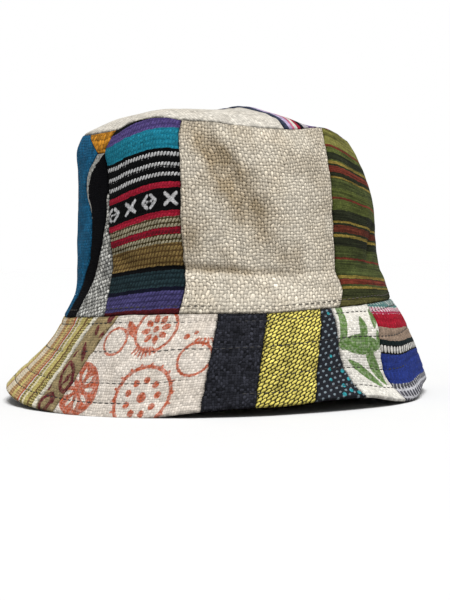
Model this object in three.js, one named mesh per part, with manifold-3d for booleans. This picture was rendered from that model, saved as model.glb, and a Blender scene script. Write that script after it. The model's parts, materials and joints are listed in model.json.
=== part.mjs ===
// A patchwork bucket hat of hemp and cotton cloth, standing on the edge of its brim.
// Millimetres, +Z up. The front of the hat looks towards -Y, and the origin lies under the middle of the
// hat, on the surface that it stands on. Angles are in degrees from the front, growing towards +X.
import * as THREE from "three";
import { mergeVertices } from "three/addons/utils/BufferGeometryUtils.js";
import Module from "manifold-3d";

const wasm = await Module();
wasm.setup();

// Driving dimensions
const crownCloth = 1.8; // thickness of the crown's cloth, with its backing
const brimCloth = 2.4; // thickness of the quilted brim
const seamGap = 0.3; // space left between two patches along a seam
const columnWidth = 7; // degrees of the hat that one column of a patch's grid covers
const crownRadius = 87; // mean distance of the crown's side from its axis
const crownHeight = 97; // mean height of the crown's side
const brimRadius = 100; // mean distance of the brim from the axis
const brimWidth = 54; // from the crown to the brim's edge
const tipRadius = 77; // mean distance of the top's rim from the axis
const tipHeight = 162.3; // the top cloth at its middle
const tipFullness = 4.4; // how late the top cloth bends down towards its rim
const tipSlope = -0.03; // the top cloth falls towards the right
const tipSeam = { x: 5, turn: 27 }; // where the seam crosses X, and its turn from the Y axis
const tipRings = 6;
const tipSpokes = 40;
const tipCrowding = 1.4; // how much closer together the rings lie towards the rim

// Where the crown's seams lie above the floor, all round
const levels = [
  { angle: -150, seam: 49.7, rim: 149.2 },
  { angle: -110, seam: 48.0, rim: 151.2 },
  { angle: -80, seam: 47.5, rim: 151.7 },
  { angle: -62, seam: 48.6, rim: 150.6 },
  { angle: -45, seam: 50.0, rim: 150.2 },
  { angle: -36, seam: 50.9, rim: 152.6 },
  { angle: -24, seam: 51.5, rim: 153.2 },
  { angle: -13, seam: 51.6, rim: 150.6 },
  { angle: 0, seam: 51.2, rim: 149.4 },
  { angle: 14, seam: 50.7, rim: 147.8 },
  { angle: 30, seam: 51.8, rim: 146.8 },
  { angle: 48, seam: 52.8, rim: 148.0 },
  { angle: 66, seam: 53.4, rim: 144.2 },
  { angle: 90, seam: 53.5, rim: 142.0 },
  { angle: 130, seam: 52.7, rim: 144.7 },
  { angle: 175, seam: 51.2, rim: 147.7 },
];

// The crown's level sections, from the brim seam (rise 0) to the seam round the top (rise 1)
const sections = [
  { rise: 0.0, halfWidth: 93.7, halfDepth: 97.4, centreX: 7.5 },
  { rise: 0.06, halfWidth: 91.2, halfDepth: 95.2, centreX: 8.4 },
  { rise: 0.14, halfWidth: 88.5, halfDepth: 91.8, centreX: 9.2 },
  { rise: 0.22, halfWidth: 86.8, halfDepth: 89.4, centreX: 8.2 },
  { rise: 0.36, halfWidth: 86.1, halfDepth: 89.2, centreX: 7.5 },
  { rise: 0.6, halfWidth: 84.8, halfDepth: 88.2, centreX: 7.5 },
  { rise: 0.78, halfWidth: 83.2, halfDepth: 86.6, centreX: 6.1 },
  { rise: 0.9, halfWidth: 81.6, halfDepth: 84.6, centreX: 4.1 },
  { rise: 0.97, halfWidth: 78.8, halfDepth: 81.4, centreX: 3.6 },
  { rise: 1.0, halfWidth: 76.7, halfDepth: 79.2, centreX: 3.8 },
];

// Creases and hollows of the worn cloth, each by the place of its middle, its turn from the level, its
// half length and half width, and how deep it is pressed in (less than nothing for a bulge)
const folds = [
  { angle: -2, rise: 0.245, turn: 0, length: 52, width: 2.4, depth: 1.5 }, // crease over the brow
  { angle: 2, rise: 0.75, turn: 120, length: 27, width: 9, depth: 3.0 }, // slanting hollow in front
  { angle: 20, rise: 0.3, turn: 0, length: 20, width: 3.4, depth: 1.0 }, // buckle over the crease
  { angle: 70, rise: 0.35, turn: 48, length: 15, width: 4, depth: 2.6 }, // fold at the right
  { angle: 64, rise: 0.47, turn: 48, length: 17, width: 7, depth: -1.2 },
  { angle: -41, rise: 0.3, turn: 150, length: 8, width: 3.6, depth: 1.8 }, // hollow at the left
  { angle: -80, rise: 0.5, turn: 90, length: 24, width: 11, depth: 0.8 },
  { angle: 118, rise: 0.5, turn: 70, length: 26, width: 11, depth: 1.8 },
  { angle: 168, rise: 0.27, turn: 0, length: 40, width: 4.5, depth: 1.4 },
  { angle: -140, rise: 0.6, turn: 110, length: 24, width: 10, depth: 1.8 },
];

// Waves of the top cloth alongside the seam across it, by their distance to the right of that seam
const tipWaves = [
  { offset: -9, height: 0.5, spread: 13 },
  { offset: 0, height: 2.4, spread: 6 },
  { offset: 29, height: -4.8, spread: 15 },
];

// The edge of the brim, all round: how far out it reaches and how high it waves above the floor, with
// the brim's bulge in the middle and its sway, out near the seam and in near the edge
const edges = [
  { angle: -165, reach: 119.5, lift: 1.5, belly: 1.0, sway: 0.0 },
  { angle: -145, reach: 119.5, lift: -0.9, belly: 1.0, sway: 0.0 },
  { angle: -125, reach: 119.8, lift: -0.9, belly: 0.5, sway: -0.5 },
  { angle: -107, reach: 120.6, lift: 4.6, belly: -1.6, sway: -0.4 },
  { angle: -90, reach: 121.0, lift: 8.6, belly: -2.1, sway: -1.0 },
  { angle: -75, reach: 120.2, lift: 6.0, belly: -1.8, sway: -0.8 },
  { angle: -61, reach: 118.6, lift: 2.8, belly: -1.2, sway: -0.4 },
  { angle: -48, reach: 117.2, lift: 0.9, belly: 0.0, sway: 0.0 },
  { angle: -36, reach: 117.0, lift: -0.9, belly: 0.5, sway: 0.0 },
  { angle: -20, reach: 117.4, lift: -0.6, belly: 0.9, sway: 0.0 },
  { angle: -10, reach: 118.0, lift: 2.0, belly: 1.0, sway: 0.0 },
  { angle: 3, reach: 119.0, lift: 4.6, belly: 1.0, sway: 0.0 },
  { angle: 16, reach: 120.0, lift: 5.1, belly: 1.0, sway: 0.3 },
  { angle: 28, reach: 121.5, lift: 6.9, belly: 0.8, sway: 1.0 },
  { angle: 40, reach: 123.8, lift: 7.4, belly: 0.0, sway: 3.2 },
  { angle: 50, reach: 125.0, lift: 3.6, belly: 0.3, sway: 3.4 },
  { angle: 60, reach: 124.4, lift: 1.8, belly: 1.4, sway: 2.4 },
  { angle: 72, reach: 122.0, lift: 6.6, belly: 2.4, sway: 1.2 },
  { angle: 84, reach: 120.8, lift: 6.6, belly: 3.0, sway: 0.6 },
  { angle: 98, reach: 120.4, lift: 0.6, belly: 3.0, sway: 0.5 },
  { angle: 112, reach: 120.2, lift: -0.9, belly: 2.2, sway: 0.3 },
  { angle: 128, reach: 120.0, lift: -0.9, belly: 1.6, sway: 0.0 },
  { angle: 148, reach: 119.6, lift: -0.9, belly: 1.2, sway: 0.0 },
  { angle: 170, reach: 119.4, lift: 1.8, belly: 1.0, sway: 0.0 },
];

// The seams between the crown's patches, each by its angle at the heights where it bends
const seams = {
  blue_left: [{ rise: 0, angle: -98 }, { rise: 1, angle: -96 }],
  blue_black: [
    { rise: 0, angle: -75 },
    { rise: 0.1, angle: -73 },
    { rise: 0.2, angle: -66.2 },
    { rise: 0.31, angle: -60.3 },
    { rise: 0.42, angle: -58.6 },
    { rise: 0.54, angle: -60.2 },
    { rise: 0.7, angle: -64.7 },
    { rise: 0.79, angle: -61.2 },
    { rise: 0.88, angle: -52.8 },
  ],
  blue_ochre: [{ rise: 0.88, angle: -52.8 }, { rise: 0.92, angle: -55.6 }, { rise: 1, angle: -63.5 }],
  black_grey: [
    { rise: 0, angle: -63.8 },
    { rise: 0.1, angle: -61.8 },
    { rise: 0.2, angle: -57.2 },
    { rise: 0.32, angle: -52.6 },
    { rise: 0.46, angle: -49.7 },
    { rise: 0.66, angle: -49.1 },
  ],
  grey_stripe: [
    { rise: 0, angle: -45.5 },
    { rise: 0.12, angle: -47.2 },
    { rise: 0.29, angle: -45.6 },
    { rise: 0.5, angle: -47.2 },
    { rise: 0.68, angle: -47.9 },
    { rise: 0.88, angle: -48 },
    { rise: 1, angle: -44.8 },
  ],
  stripe_hemp: [
    { rise: 0, angle: -16 },
    { rise: 0.25, angle: -15.3 },
    { rise: 0.6, angle: -15.9 },
    { rise: 1, angle: -13.8 },
  ],
  hemp_green: [
    { rise: 0, angle: 41.2 },
    { rise: 0.17, angle: 40.7 },
    { rise: 0.3, angle: 41.8 },
    { rise: 0.6, angle: 42.7 },
    { rise: 0.85, angle: 45.4 },
    { rise: 1, angle: 49 },
  ],
  green_right: [{ rise: 0, angle: 97 }, { rise: 1, angle: 99 }],
  right_back: [{ rise: 0, angle: 138 }, { rise: 1, angle: 136 }],
  back_middle: [{ rise: 0, angle: 193 }, { rise: 1, angle: 196 }],
  back_left: [{ rise: 0, angle: 232 }, { rise: 1, angle: 230 }],
  blue_left_again: [{ rise: 0, angle: 262 }, { rise: 1, angle: 264 }],
};

// The crown's patches, each between two seams, from one height to another. Where a patch reaches over
// its right neighbour, its right side follows the seam named in "above" from the height "turnAt".
const crownPatches = [
  { name: "crown_patch_blue", left: "blue_left", right: "blue_black", from: 0, to: 1, cloth: "blue",
    above: "blue_ochre", turnAt: 0.88 },
  { name: "crown_patch_black", left: "blue_black", right: "black_grey", from: 0, to: 0.88, cloth: "black",
    above: "grey_stripe", turnAt: 0.66 },
  { name: "crown_patch_grey", left: "black_grey", right: "grey_stripe", from: 0, to: 0.66, cloth: "grey" },
  { name: "crown_patch_ochre", left: "blue_ochre", right: "grey_stripe", from: 0.88, to: 1, cloth: "ochre" },
  { name: "crown_patch_stripe", left: "grey_stripe", right: "stripe_hemp", from: 0, to: 1, cloth: "teal" },
  { name: "crown_patch_hemp", left: "stripe_hemp", right: "hemp_green", from: 0, to: 1, cloth: "hemp" },
  { name: "crown_patch_green", left: "hemp_green", right: "green_right", from: 0, to: 1, cloth: "green" },
  { name: "crown_patch_right", left: "green_right", right: "right_back", from: 0, to: 1, cloth: "charcoal" },
  { name: "crown_patch_back", left: "right_back", right: "back_middle", from: 0, to: 1, cloth: "hemp" },
  { name: "crown_patch_plum", left: "back_middle", right: "back_left", from: 0, to: 1, cloth: "plum" },
  { name: "crown_patch_left", left: "back_left", right: "blue_left_again", from: 0, to: 1, cloth: "ochre" },
];
const crownRises = [0, 0.07, 0.15, 0.21, 0.245, 0.28, 0.34, 0.44, 0.54, 0.66, 0.78, 0.88, 0.94, 0.98, 1];

// The brim's patches, going round from one seam to the next: the angle of a patch's left seam at the
// crown and at the edge, and how far that seam bows aside in between
const brimPatches = [
  { name: "brim_patch_olive", atCrown: -97, atEdge: -99, bow: 0, cloth: "olive" },
  { name: "brim_patch_paisley", atCrown: -48, atEdge: -55, bow: -1.2, cloth: "paisley" },
  { name: "brim_patch_print", atCrown: -38, atEdge: -47, bow: -1, cloth: "print" },
  { name: "brim_patch_charcoal", atCrown: -2.9, atEdge: -3.6, bow: 0, cloth: "charcoal" },
  { name: "brim_patch_yellow", atCrown: 12.6, atEdge: 9.8, bow: -0.3, cloth: "yellow" },
  { name: "brim_patch_dotted", atCrown: 31.3, atEdge: 25, bow: -0.5, cloth: "black" },
  { name: "brim_patch_leaf", atCrown: 35.9, atEdge: 39.3, bow: -3.1, cloth: "leaf" },
  { name: "brim_patch_band", atCrown: 53.4, atEdge: 54.5, bow: -3.5, cloth: "band" },
  { name: "brim_patch_right", atCrown: 97, atEdge: 100, bow: 0, cloth: "hemp" },
  { name: "brim_patch_back_green", atCrown: 131, atEdge: 134, bow: 0, cloth: "green" },
  { name: "brim_patch_back_plain", atCrown: 164, atEdge: 162, bow: 0, cloth: "print" },
  { name: "brim_patch_back_blue", atCrown: 202, atEdge: 204, bow: 0, cloth: "blue" },
  { name: "brim_patch_left", atCrown: 236, atEdge: 235, bow: 0, cloth: "charcoal" },
];
const brimDrops = [0, 0.18, 0.38, 0.6, 0.82, 1];

const cloths = {
  hemp: { color: 0xc6bda6, roughness: 0.95 },
  blue: { color: 0x1f6fa3, roughness: 0.9 },
  black: { color: 0x14151b, roughness: 0.95 },
  grey: { color: 0xb9b9b4, roughness: 0.95 },
  ochre: { color: 0xc68a1d, roughness: 0.9 },
  teal: { color: 0x1c8ba3, roughness: 0.9 },
  green: { color: 0x5d6b2e, roughness: 0.9 },
  charcoal: { color: 0x2c2c31, roughness: 0.95 },
  plum: { color: 0x4f3f7d, roughness: 0.9 },
  olive: { color: 0xa89a4c, roughness: 0.9 },
  paisley: { color: 0x756546, roughness: 0.9 },
  print: { color: 0xd8d0c6, roughness: 0.95 },
  yellow: { color: 0xc9bb33, roughness: 0.9 },
  leaf: { color: 0xd9d4c5, roughness: 0.95 },
  band: { color: 0xb32443, roughness: 0.9 },
  tip_cream: { color: 0xd2cbb6, roughness: 0.95 },
  tip_stripe: { color: 0x8f5a86, roughness: 0.9 },
};

const clothMaterial = (cloth) => new THREE.MeshStandardMaterial({ ...cloths[cloth], metalness: 0 });

// The value of one column at a place along a table, on a smooth curve through the rows
function along(rows, place, column, at) {
  const last = rows.length - 1;
  let i = 0;
  while (i < last - 1 && at > rows[i + 1][place]) i += 1;
  const slope = (k) => {
    const before = rows[Math.max(k - 1, 0)];
    const after = rows[Math.min(k + 1, last)];
    return (after[column] - before[column]) / (after[place] - before[place]);
  };
  const width = rows[i + 1][place] - rows[i][place];
  const u = (at - rows[i][place]) / width;
  const [a, b] = [rows[i][column], rows[i + 1][column]];
  const [slopeA, slopeB] = [slope(i) * width, slope(i + 1) * width];
  const bend = 3 * (b - a) - 2 * slopeA - slopeB;
  const twist = slopeA + slopeB - 2 * (b - a);
  return a + u * (slopeA + u * (bend + u * twist));
}

// An angle brought to within half a turn of the front
const fromFront = (angle) => angle - 360 * Math.floor((angle + 180) / 360);

// The same round the whole hat, for a table whose places are angles
function around(rows, column, angle) {
  const turned = (turn) => rows.map((row) => ({ ...row, angle: row.angle + turn }));
  return along([...turned(-360), ...rows, ...turned(360)], "angle", column, fromFront(angle));
}

// How far the folds push the crown's cloth inwards at a place
function foldDepth(angle, rise) {
  let depth = 0;
  for (const fold of folds) {
    const aside = THREE.MathUtils.degToRad(fromFront(angle - fold.angle)) * crownRadius;
    const up = (rise - fold.rise) * crownHeight;
    const turn = THREE.MathUtils.degToRad(fold.turn);
    const lengthwise = (aside * Math.cos(turn) + up * Math.sin(turn)) / fold.length;
    const crosswise = (up * Math.cos(turn) - aside * Math.sin(turn)) / fold.width;
    depth += fold.depth * Math.exp(-(lengthwise ** 2) - crosswise ** 2);
  }
  return depth;
}

// A point on the outside of the crown's side
function crownPoint(angle, rise) {
  const turn = THREE.MathUtils.degToRad(angle);
  const push = foldDepth(angle, rise);
  const halfWidth = along(sections, "rise", "halfWidth", rise) - push;
  const halfDepth = along(sections, "rise", "halfDepth", rise) - push;
  const seam = around(levels, "seam", angle);
  const rim = around(levels, "rim", angle);
  return new THREE.Vector3(
    along(sections, "rise", "centreX", rise) + halfWidth * Math.sin(turn),
    -halfDepth * Math.cos(turn),
    seam + rise * (rim - seam),
  );
}

// A point on the outside of the brim, from the crown (drop 0) to the edge (drop 1)
function brimPoint(angle, drop) {
  const turn = THREE.MathUtils.degToRad(angle);
  const [atCrown, reach] = [crownPoint(angle, 0), around(edges, "reach", angle)];
  const atEdge = new THREE.Vector3(
    reach * Math.sin(turn),
    -reach * Math.cos(turn),
    around(edges, "lift", angle),
  );
  const fall = atEdge.clone().sub(atCrown);
  const run = Math.hypot(fall.x, fall.y);
  const out = new THREE.Vector3(Math.sin(turn) * -fall.z, -Math.cos(turn) * -fall.z, run).normalize();
  const bulge = around(edges, "belly", angle) * Math.sin(Math.PI * drop);
  const sway = around(edges, "sway", angle) * Math.sin(2 * Math.PI * drop);
  return atCrown.addScaledVector(fall, drop).addScaledVector(out, bulge + sway);
}

// A point on the upper side of the top cloth, from its middle (share 0) to the crown's rim (share 1)
function tipPoint(angle, share) {
  const turn = THREE.MathUtils.degToRad(angle);
  const rim = crownPoint(angle, 1);
  const centreX = along(sections, "rise", "centreX", 1);
  const x = centreX + share * (rim.x - centreX);
  const y = share * rim.y;
  const level = share ** tipFullness;
  const seamTurn = THREE.MathUtils.degToRad(tipSeam.turn);
  const fromSeam = (x - tipSeam.x) * Math.cos(seamTurn) + y * Math.sin(seamTurn);
  let middle = tipHeight + tipSlope * (x - centreX);
  for (const wave of tipWaves) {
    middle += wave.height * Math.exp(-(((fromSeam - wave.offset) / wave.spread) ** 2));
  }
  return new THREE.Vector3(x, y, middle * (1 - level) + rim.z * level);
}

// The outward direction of a surface, from the points beside one place on it
function outward(surface, angle, place) {
  const step = { angle: 0.5, place: 0.01 };
  const [low, high] = [Math.max(place - step.place, 0), Math.min(place + step.place, 1)];
  const aside = surface(angle + step.angle, place).sub(surface(angle - step.angle, place));
  const up = surface(angle, high).sub(surface(angle, low));
  return aside.cross(up).normalize();
}

const crownNormal = (angle, rise) => outward(crownPoint, angle, rise);
const brimNormal = (angle, drop) => outward(brimPoint, angle, drop).negate();
const tipNormal = (angle, share) => outward(tipPoint, angle, Math.max(share, 0.05)).negate();

// Cloth that meets other cloth at a seam is cut there halfway between their two directions
function seamNormal(angle, own, ownPlace, other, otherPlace) {
  return own(angle, ownPlace).add(other(angle, otherPlace)).normalize();
}

function crownWallNormal(angle, rise) {
  if (rise < crownRises[1]) return seamNormal(angle, crownNormal, rise, brimNormal, 0);
  if (rise > crownRises.at(-2)) return seamNormal(angle, crownNormal, rise, tipNormal, 1);
  return crownNormal(angle, rise);
}

function brimWallNormal(angle, drop) {
  return drop < brimDrops[1] ? seamNormal(angle, brimNormal, drop, crownNormal, 0) : brimNormal(angle, drop);
}

// The two faces of a piece of cloth at one place, pressed flat where it would reach below the floor
function clothFaces(outside, normal, thickness) {
  const inside = outside.clone().addScaledVector(normal, -thickness);
  return [outside, inside].map((point) => point.setZ(Math.max(point.z, 0)));
}

// A closed wall of cloth between a grid of outer points and a grid of inner points
function wallGeometry(grid) {
  const [rows, columns] = [grid.length, grid[0].length];
  const positions = [];
  const faces = [];
  grid.forEach((row) => row.forEach((pair) => pair.forEach((point) => positions.push(...point.toArray()))));
  const corner = (row, column, side) => (row * columns + column) * 2 + side;
  const quad = (a, b, c, d) => faces.push(a, b, c, a, c, d);
  for (let r = 0; r < rows - 1; r += 1) {
    for (let c = 0; c < columns - 1; c += 1) {
      quad(corner(r, c, 0), corner(r, c + 1, 0), corner(r + 1, c + 1, 0), corner(r + 1, c, 0));
      quad(corner(r, c, 1), corner(r + 1, c, 1), corner(r + 1, c + 1, 1), corner(r, c + 1, 1));
    }
    const end = columns - 1;
    quad(corner(r, 0, 0), corner(r + 1, 0, 0), corner(r + 1, 0, 1), corner(r, 0, 1));
    quad(corner(r, end, 0), corner(r, end, 1), corner(r + 1, end, 1), corner(r + 1, end, 0));
  }
  for (let c = 0; c < columns - 1; c += 1) {
    const end = rows - 1;
    quad(corner(0, c, 0), corner(0, c, 1), corner(0, c + 1, 1), corner(0, c + 1, 0));
    quad(corner(end, c, 0), corner(end, c + 1, 0), corner(end, c + 1, 1), corner(end, c, 1));
  }
  const geometry = new THREE.BufferGeometry();
  geometry.setAttribute("position", new THREE.Float32BufferAttribute(positions, 3));
  geometry.setIndex(faces);
  return geometry;
}

// The grid of a patch whose left and right seams are given by their angles at each place
function patchGrid({ places, left, right, surface, normal, thickness, height, radius }) {
  const trim = seamGap / 2;
  const width = Math.max(...places.map((place) => right(place) - left(place)));
  const columns = Math.max(2, Math.round(width / columnWidth));
  return places.map((place) => {
    const trimAngle = THREE.MathUtils.radToDeg(trim / radius);
    const [start, end] = [left(place) + trimAngle, right(place) - trimAngle];
    const trimmed = Math.min(Math.max(place, places[0] + trim / height), places.at(-1) - trim / height);
    return Array.from({ length: columns + 1 }, (_, c) => {
      const angle = start + ((end - start) * c) / columns;
      return clothFaces(surface(angle, trimmed), normal(angle, trimmed), thickness);
    });
  });
}

function crownPatch({ name, left, right, above, turnAt, from, to, cloth }) {
  const seamAngle = (seam, rise) => along(seams[seam], "rise", "angle", rise);
  const grid = patchGrid({
    places: crownRises.filter((rise) => rise >= from && rise <= to),
    left: (rise) => seamAngle(left, rise),
    right: (rise) => seamAngle(rise > turnAt ? above : right, rise),
    surface: crownPoint,
    normal: crownWallNormal,
    thickness: crownCloth,
    height: crownHeight,
    radius: crownRadius,
  });
  const patch = new THREE.Mesh(wallGeometry(grid), clothMaterial(cloth));
  patch.name = name;
  return patch;
}

function brimPatch(row, index) {
  const next = brimPatches[(index + 1) % brimPatches.length];
  const turn = index + 1 === brimPatches.length ? 360 : 0;
  const seamAngle = (seam, more) => (drop) =>
    more + seam.atCrown + (seam.atEdge - seam.atCrown) * drop + seam.bow * Math.sin(Math.PI * drop);
  const grid = patchGrid({
    places: brimDrops,
    left: seamAngle(row, 0),
    right: seamAngle(next, turn),
    surface: brimPoint,
    normal: brimWallNormal,
    thickness: brimCloth,
    height: brimWidth,
    radius: brimRadius,
  });
  const flipped = grid.map((cells) => [...cells].reverse());
  const patch = new THREE.Mesh(wallGeometry(flipped), clothMaterial(row.cloth));
  patch.name = row.name;
  return patch;
}

// A closed mesh as a solid that can be cut
function solidOf(geometry) {
  const merged = mergeVertices(geometry, 1e-3);
  return new wasm.Manifold(
    new wasm.Mesh({
      numProp: 3,
      vertProperties: merged.attributes.position.array,
      triVerts: new Uint32Array(merged.index.array),
    }),
  );
}

function geometryOf(solid) {
  const { numProp, vertProperties, triVerts } = solid.getMesh();
  const geometry = new THREE.BufferGeometry();
  const positions = new Float32Array((vertProperties.length / numProp) * 3);
  for (let i = 0; i < positions.length / 3; i += 1) {
    positions.set(vertProperties.subarray(i * numProp, i * numProp + 3), i * 3);
  }
  geometry.setAttribute("position", new THREE.BufferAttribute(positions, 3));
  geometry.setIndex(new THREE.BufferAttribute(triVerts, 1));
  return geometry;
}

// The top cloth as one closed disc: rings of points round a middle point, above and below
function tipGeometry() {
  const rimShare = 1 - seamGap / 2 / tipRadius;
  const positions = [];
  const faces = [];
  const addFaces = (outside, normal) =>
    clothFaces(outside, normal, crownCloth).forEach((point) => positions.push(...point.toArray()));
  for (let ring = 0; ring < tipRings; ring += 1) {
    const share = rimShare * (1 - (ring / tipRings) ** tipCrowding);
    for (let spoke = 0; spoke < tipSpokes; spoke += 1) {
      const angle = (360 / tipSpokes) * spoke;
      const normal = ring ? tipNormal(angle, share) : seamNormal(angle, tipNormal, share, crownNormal, 1);
      addFaces(tipPoint(angle, share), normal);
    }
  }
  const middle = positions.length / 3;
  addFaces(tipPoint(0, 0), new THREE.Vector3(0, 0, 1));
  const corner = (ring, spoke, side) => (ring * tipSpokes + (spoke % tipSpokes)) * 2 + side;
  const quad = (a, b, c, d) => faces.push(a, b, c, a, c, d);
  for (let s = 0; s < tipSpokes; s += 1) {
    for (let r = 0; r < tipRings - 1; r += 1) {
      quad(corner(r, s, 0), corner(r, s + 1, 0), corner(r + 1, s + 1, 0), corner(r + 1, s, 0));
      quad(corner(r, s, 1), corner(r + 1, s, 1), corner(r + 1, s + 1, 1), corner(r, s + 1, 1));
    }
    const last = tipRings - 1;
    faces.push(corner(last, s, 0), corner(last, s + 1, 0), middle);
    faces.push(corner(last, s, 1), middle + 1, corner(last, s + 1, 1));
    quad(corner(0, s, 0), corner(0, s, 1), corner(0, s + 1, 1), corner(0, s + 1, 0));
  }
  const geometry = new THREE.BufferGeometry();
  geometry.setAttribute("position", new THREE.Float32BufferAttribute(positions, 3));
  geometry.setIndex(faces);
  return geometry;
}

// A block that covers the top cloth on one side of the seam across it
function tipHalf(side) {
  const block = { width: 200, length: 300, height: 80 };
  const geometry = new THREE.BoxGeometry(block.width, block.length, block.height);
  geometry.deleteAttribute("normal");
  geometry.deleteAttribute("uv");
  geometry.translate((side * (block.width + seamGap)) / 2, 0, 0);
  geometry.rotateZ(THREE.MathUtils.degToRad(tipSeam.turn));
  geometry.translate(tipSeam.x, 0, 150);
  return solidOf(geometry);
}

function tipPatch(name, side, cloth) {
  const cut = solidOf(tipGeometry()).intersect(tipHalf(side));
  const patch = new THREE.Mesh(geometryOf(cut), clothMaterial(cloth));
  patch.name = name;
  return patch;
}

const hat = new THREE.Group();
crownPatches.forEach((row) => hat.add(crownPatch(row)));
brimPatches.forEach((row, index) => hat.add(brimPatch(row, index)));
hat.add(tipPatch("tip_patch_cream", -1, "tip_cream"));
hat.add(tipPatch("tip_patch_stripe", 1, "tip_stripe"));

export default hat;
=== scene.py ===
"""A patchwork bucket hat of hemp and cotton cloth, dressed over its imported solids.

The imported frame's axes hold throughout: +Z up, the front of the hat towards -Y, and metres in Blender.
Tables of the form and measures of the cloth are in millimetres. Angles are in degrees from the front,
growing towards +X. A place on the crown's side is its angle and its rise, from 0 at the brim to 1 at the
top. A place on the brim is its angle and its drop, from 0 at the crown to 1 at the edge. A place on the
top cloth is its x and y.
"""

import json
import logging
import math
from collections.abc import Callable, Sequence
from dataclasses import dataclass
from enum import Enum

import bmesh
import bpy
import numpy as np
from mathutils import Matrix, Vector
from mathutils.bvhtree import BVHTree


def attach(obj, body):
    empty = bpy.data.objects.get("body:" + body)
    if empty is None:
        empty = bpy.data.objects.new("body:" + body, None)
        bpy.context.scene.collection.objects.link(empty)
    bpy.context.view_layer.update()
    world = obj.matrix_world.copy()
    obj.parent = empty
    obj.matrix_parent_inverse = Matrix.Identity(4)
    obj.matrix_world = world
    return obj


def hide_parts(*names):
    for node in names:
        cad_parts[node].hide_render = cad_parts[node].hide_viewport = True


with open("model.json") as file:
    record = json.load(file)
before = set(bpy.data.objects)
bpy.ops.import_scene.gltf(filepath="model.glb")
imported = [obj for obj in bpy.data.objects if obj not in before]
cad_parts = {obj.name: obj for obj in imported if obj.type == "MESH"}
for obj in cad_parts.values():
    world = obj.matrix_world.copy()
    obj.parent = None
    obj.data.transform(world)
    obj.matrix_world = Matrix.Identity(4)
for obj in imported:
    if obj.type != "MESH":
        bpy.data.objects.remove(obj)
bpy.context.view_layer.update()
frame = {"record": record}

Array = np.ndarray
Rows = Sequence[Sequence[float]]
Colour = tuple[float, float, float]
Surface = Callable[[Array, Array], Array]

MM = 0.001
LIT = 0.62  # a cloth's own colour, as a share of how it looks under the studio's light
CLOTH_MAP = "cloth"  # the UV map, in millimetres of cloth
BAND = "band"  # attribute: millimetres across a patch's stripes
INK = "ink"  # attribute: distance in millimetres to the edge of a printed or woven figure, below 0 in it
SEAM = "seam"  # attribute: millimetres to the patch's nearest edge
HOLLOW = "hollow"  # attribute: how far folds press the cloth in, in millimetres, where it browns with stain and painted shade; on the crown's hemp it also holds the painted shade above the crease
FAR_FROM_INK = 9.0  # the distance written where a patch has no figure nearby
MITRE_REACH = 2.2  # how far from a seam the cloth turns towards the patch beyond it
SEAM_WAVES = ((0.22, 5.0), (0.12, 1.9))  # size in degrees and length in millimetres of a seam's waves
SEAM_SEED = 900

log = logging.getLogger("hat")


def paint(red: int, green: int, blue: int) -> Colour:
    """Turn a cloth's colour as it looks on a screen into its own colour in Blender's linear values.

    Args:
        red: The red share, from 0 to 255.
        green: The green share.
        blue: The blue share.

    Returns:
        The linear colour, from 0 to 1.
    """

    def linear(value: float) -> float:
        """Undo the screen's curve."""
        return value / 12.92 if value <= 0.04045 else ((value + 0.055) / 1.055) ** 2.4

    return LIT * linear(red / 255), LIT * linear(green / 255), LIT * linear(blue / 255)


# The form


def smooth(rows: Rows, column: int, at: Array) -> Array:
    """Read a table on a smooth curve through its rows.

    Args:
        rows: The table, in the order of its first column, which holds the places.
        column: The column to read.
        at: The places to read it at.

    Returns:
        The column's values there.
    """
    table = np.asarray(rows, float)
    x, y = table[:, 0], table[:, column]
    k = np.arange(len(x))
    before, after = np.maximum(k - 1, 0), np.minimum(k + 1, len(x) - 1)
    slope = (y[after] - y[before]) / (x[after] - x[before])
    i = np.clip(np.searchsorted(x, at) - 1, 0, len(x) - 2)
    width = x[i + 1] - x[i]
    u = (at - x[i]) / width
    step = y[i + 1] - y[i]
    start, end = slope[i] * width, slope[i + 1] * width
    return y[i] + u * (start + u * (3 * step - 2 * start - end + u * (start + end - 2 * step)))


def from_front(angle: Array) -> Array:
    """Bring an angle to within half a turn of the front."""
    return (np.asarray(angle, float) + 180) % 360 - 180


def around(rows: Rows, column: int, angle: Array) -> Array:
    """Read a column of a table whose places are angles round the whole hat."""
    turned = [[row[0] + turn, *row[1:]] for turn in (-360, 0, 360) for row in rows]
    return smooth(turned, column, from_front(angle))


def unit(vectors: Array) -> Array:
    """Give each vector a length of one."""
    return vectors / np.linalg.norm(vectors, axis=-1, keepdims=True)


def stack(*coordinates: Array) -> Array:
    """Join arrays of coordinates, two or three of them, into points."""
    return np.stack(np.broadcast_arrays(*coordinates), -1)


def bell(distance: Array, reach: float) -> Array:
    """Give 1 at no distance, falling softly to nearly 0 at twice the reach."""
    return np.exp(-((distance / reach) ** 2))


def round_off(short: Array, radius: float) -> Array:
    """Say how much a rounded edge lies below a square one, at some distances out along the round."""
    return radius - np.sqrt(radius**2 - np.clip(short, 0, radius) ** 2)


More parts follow.
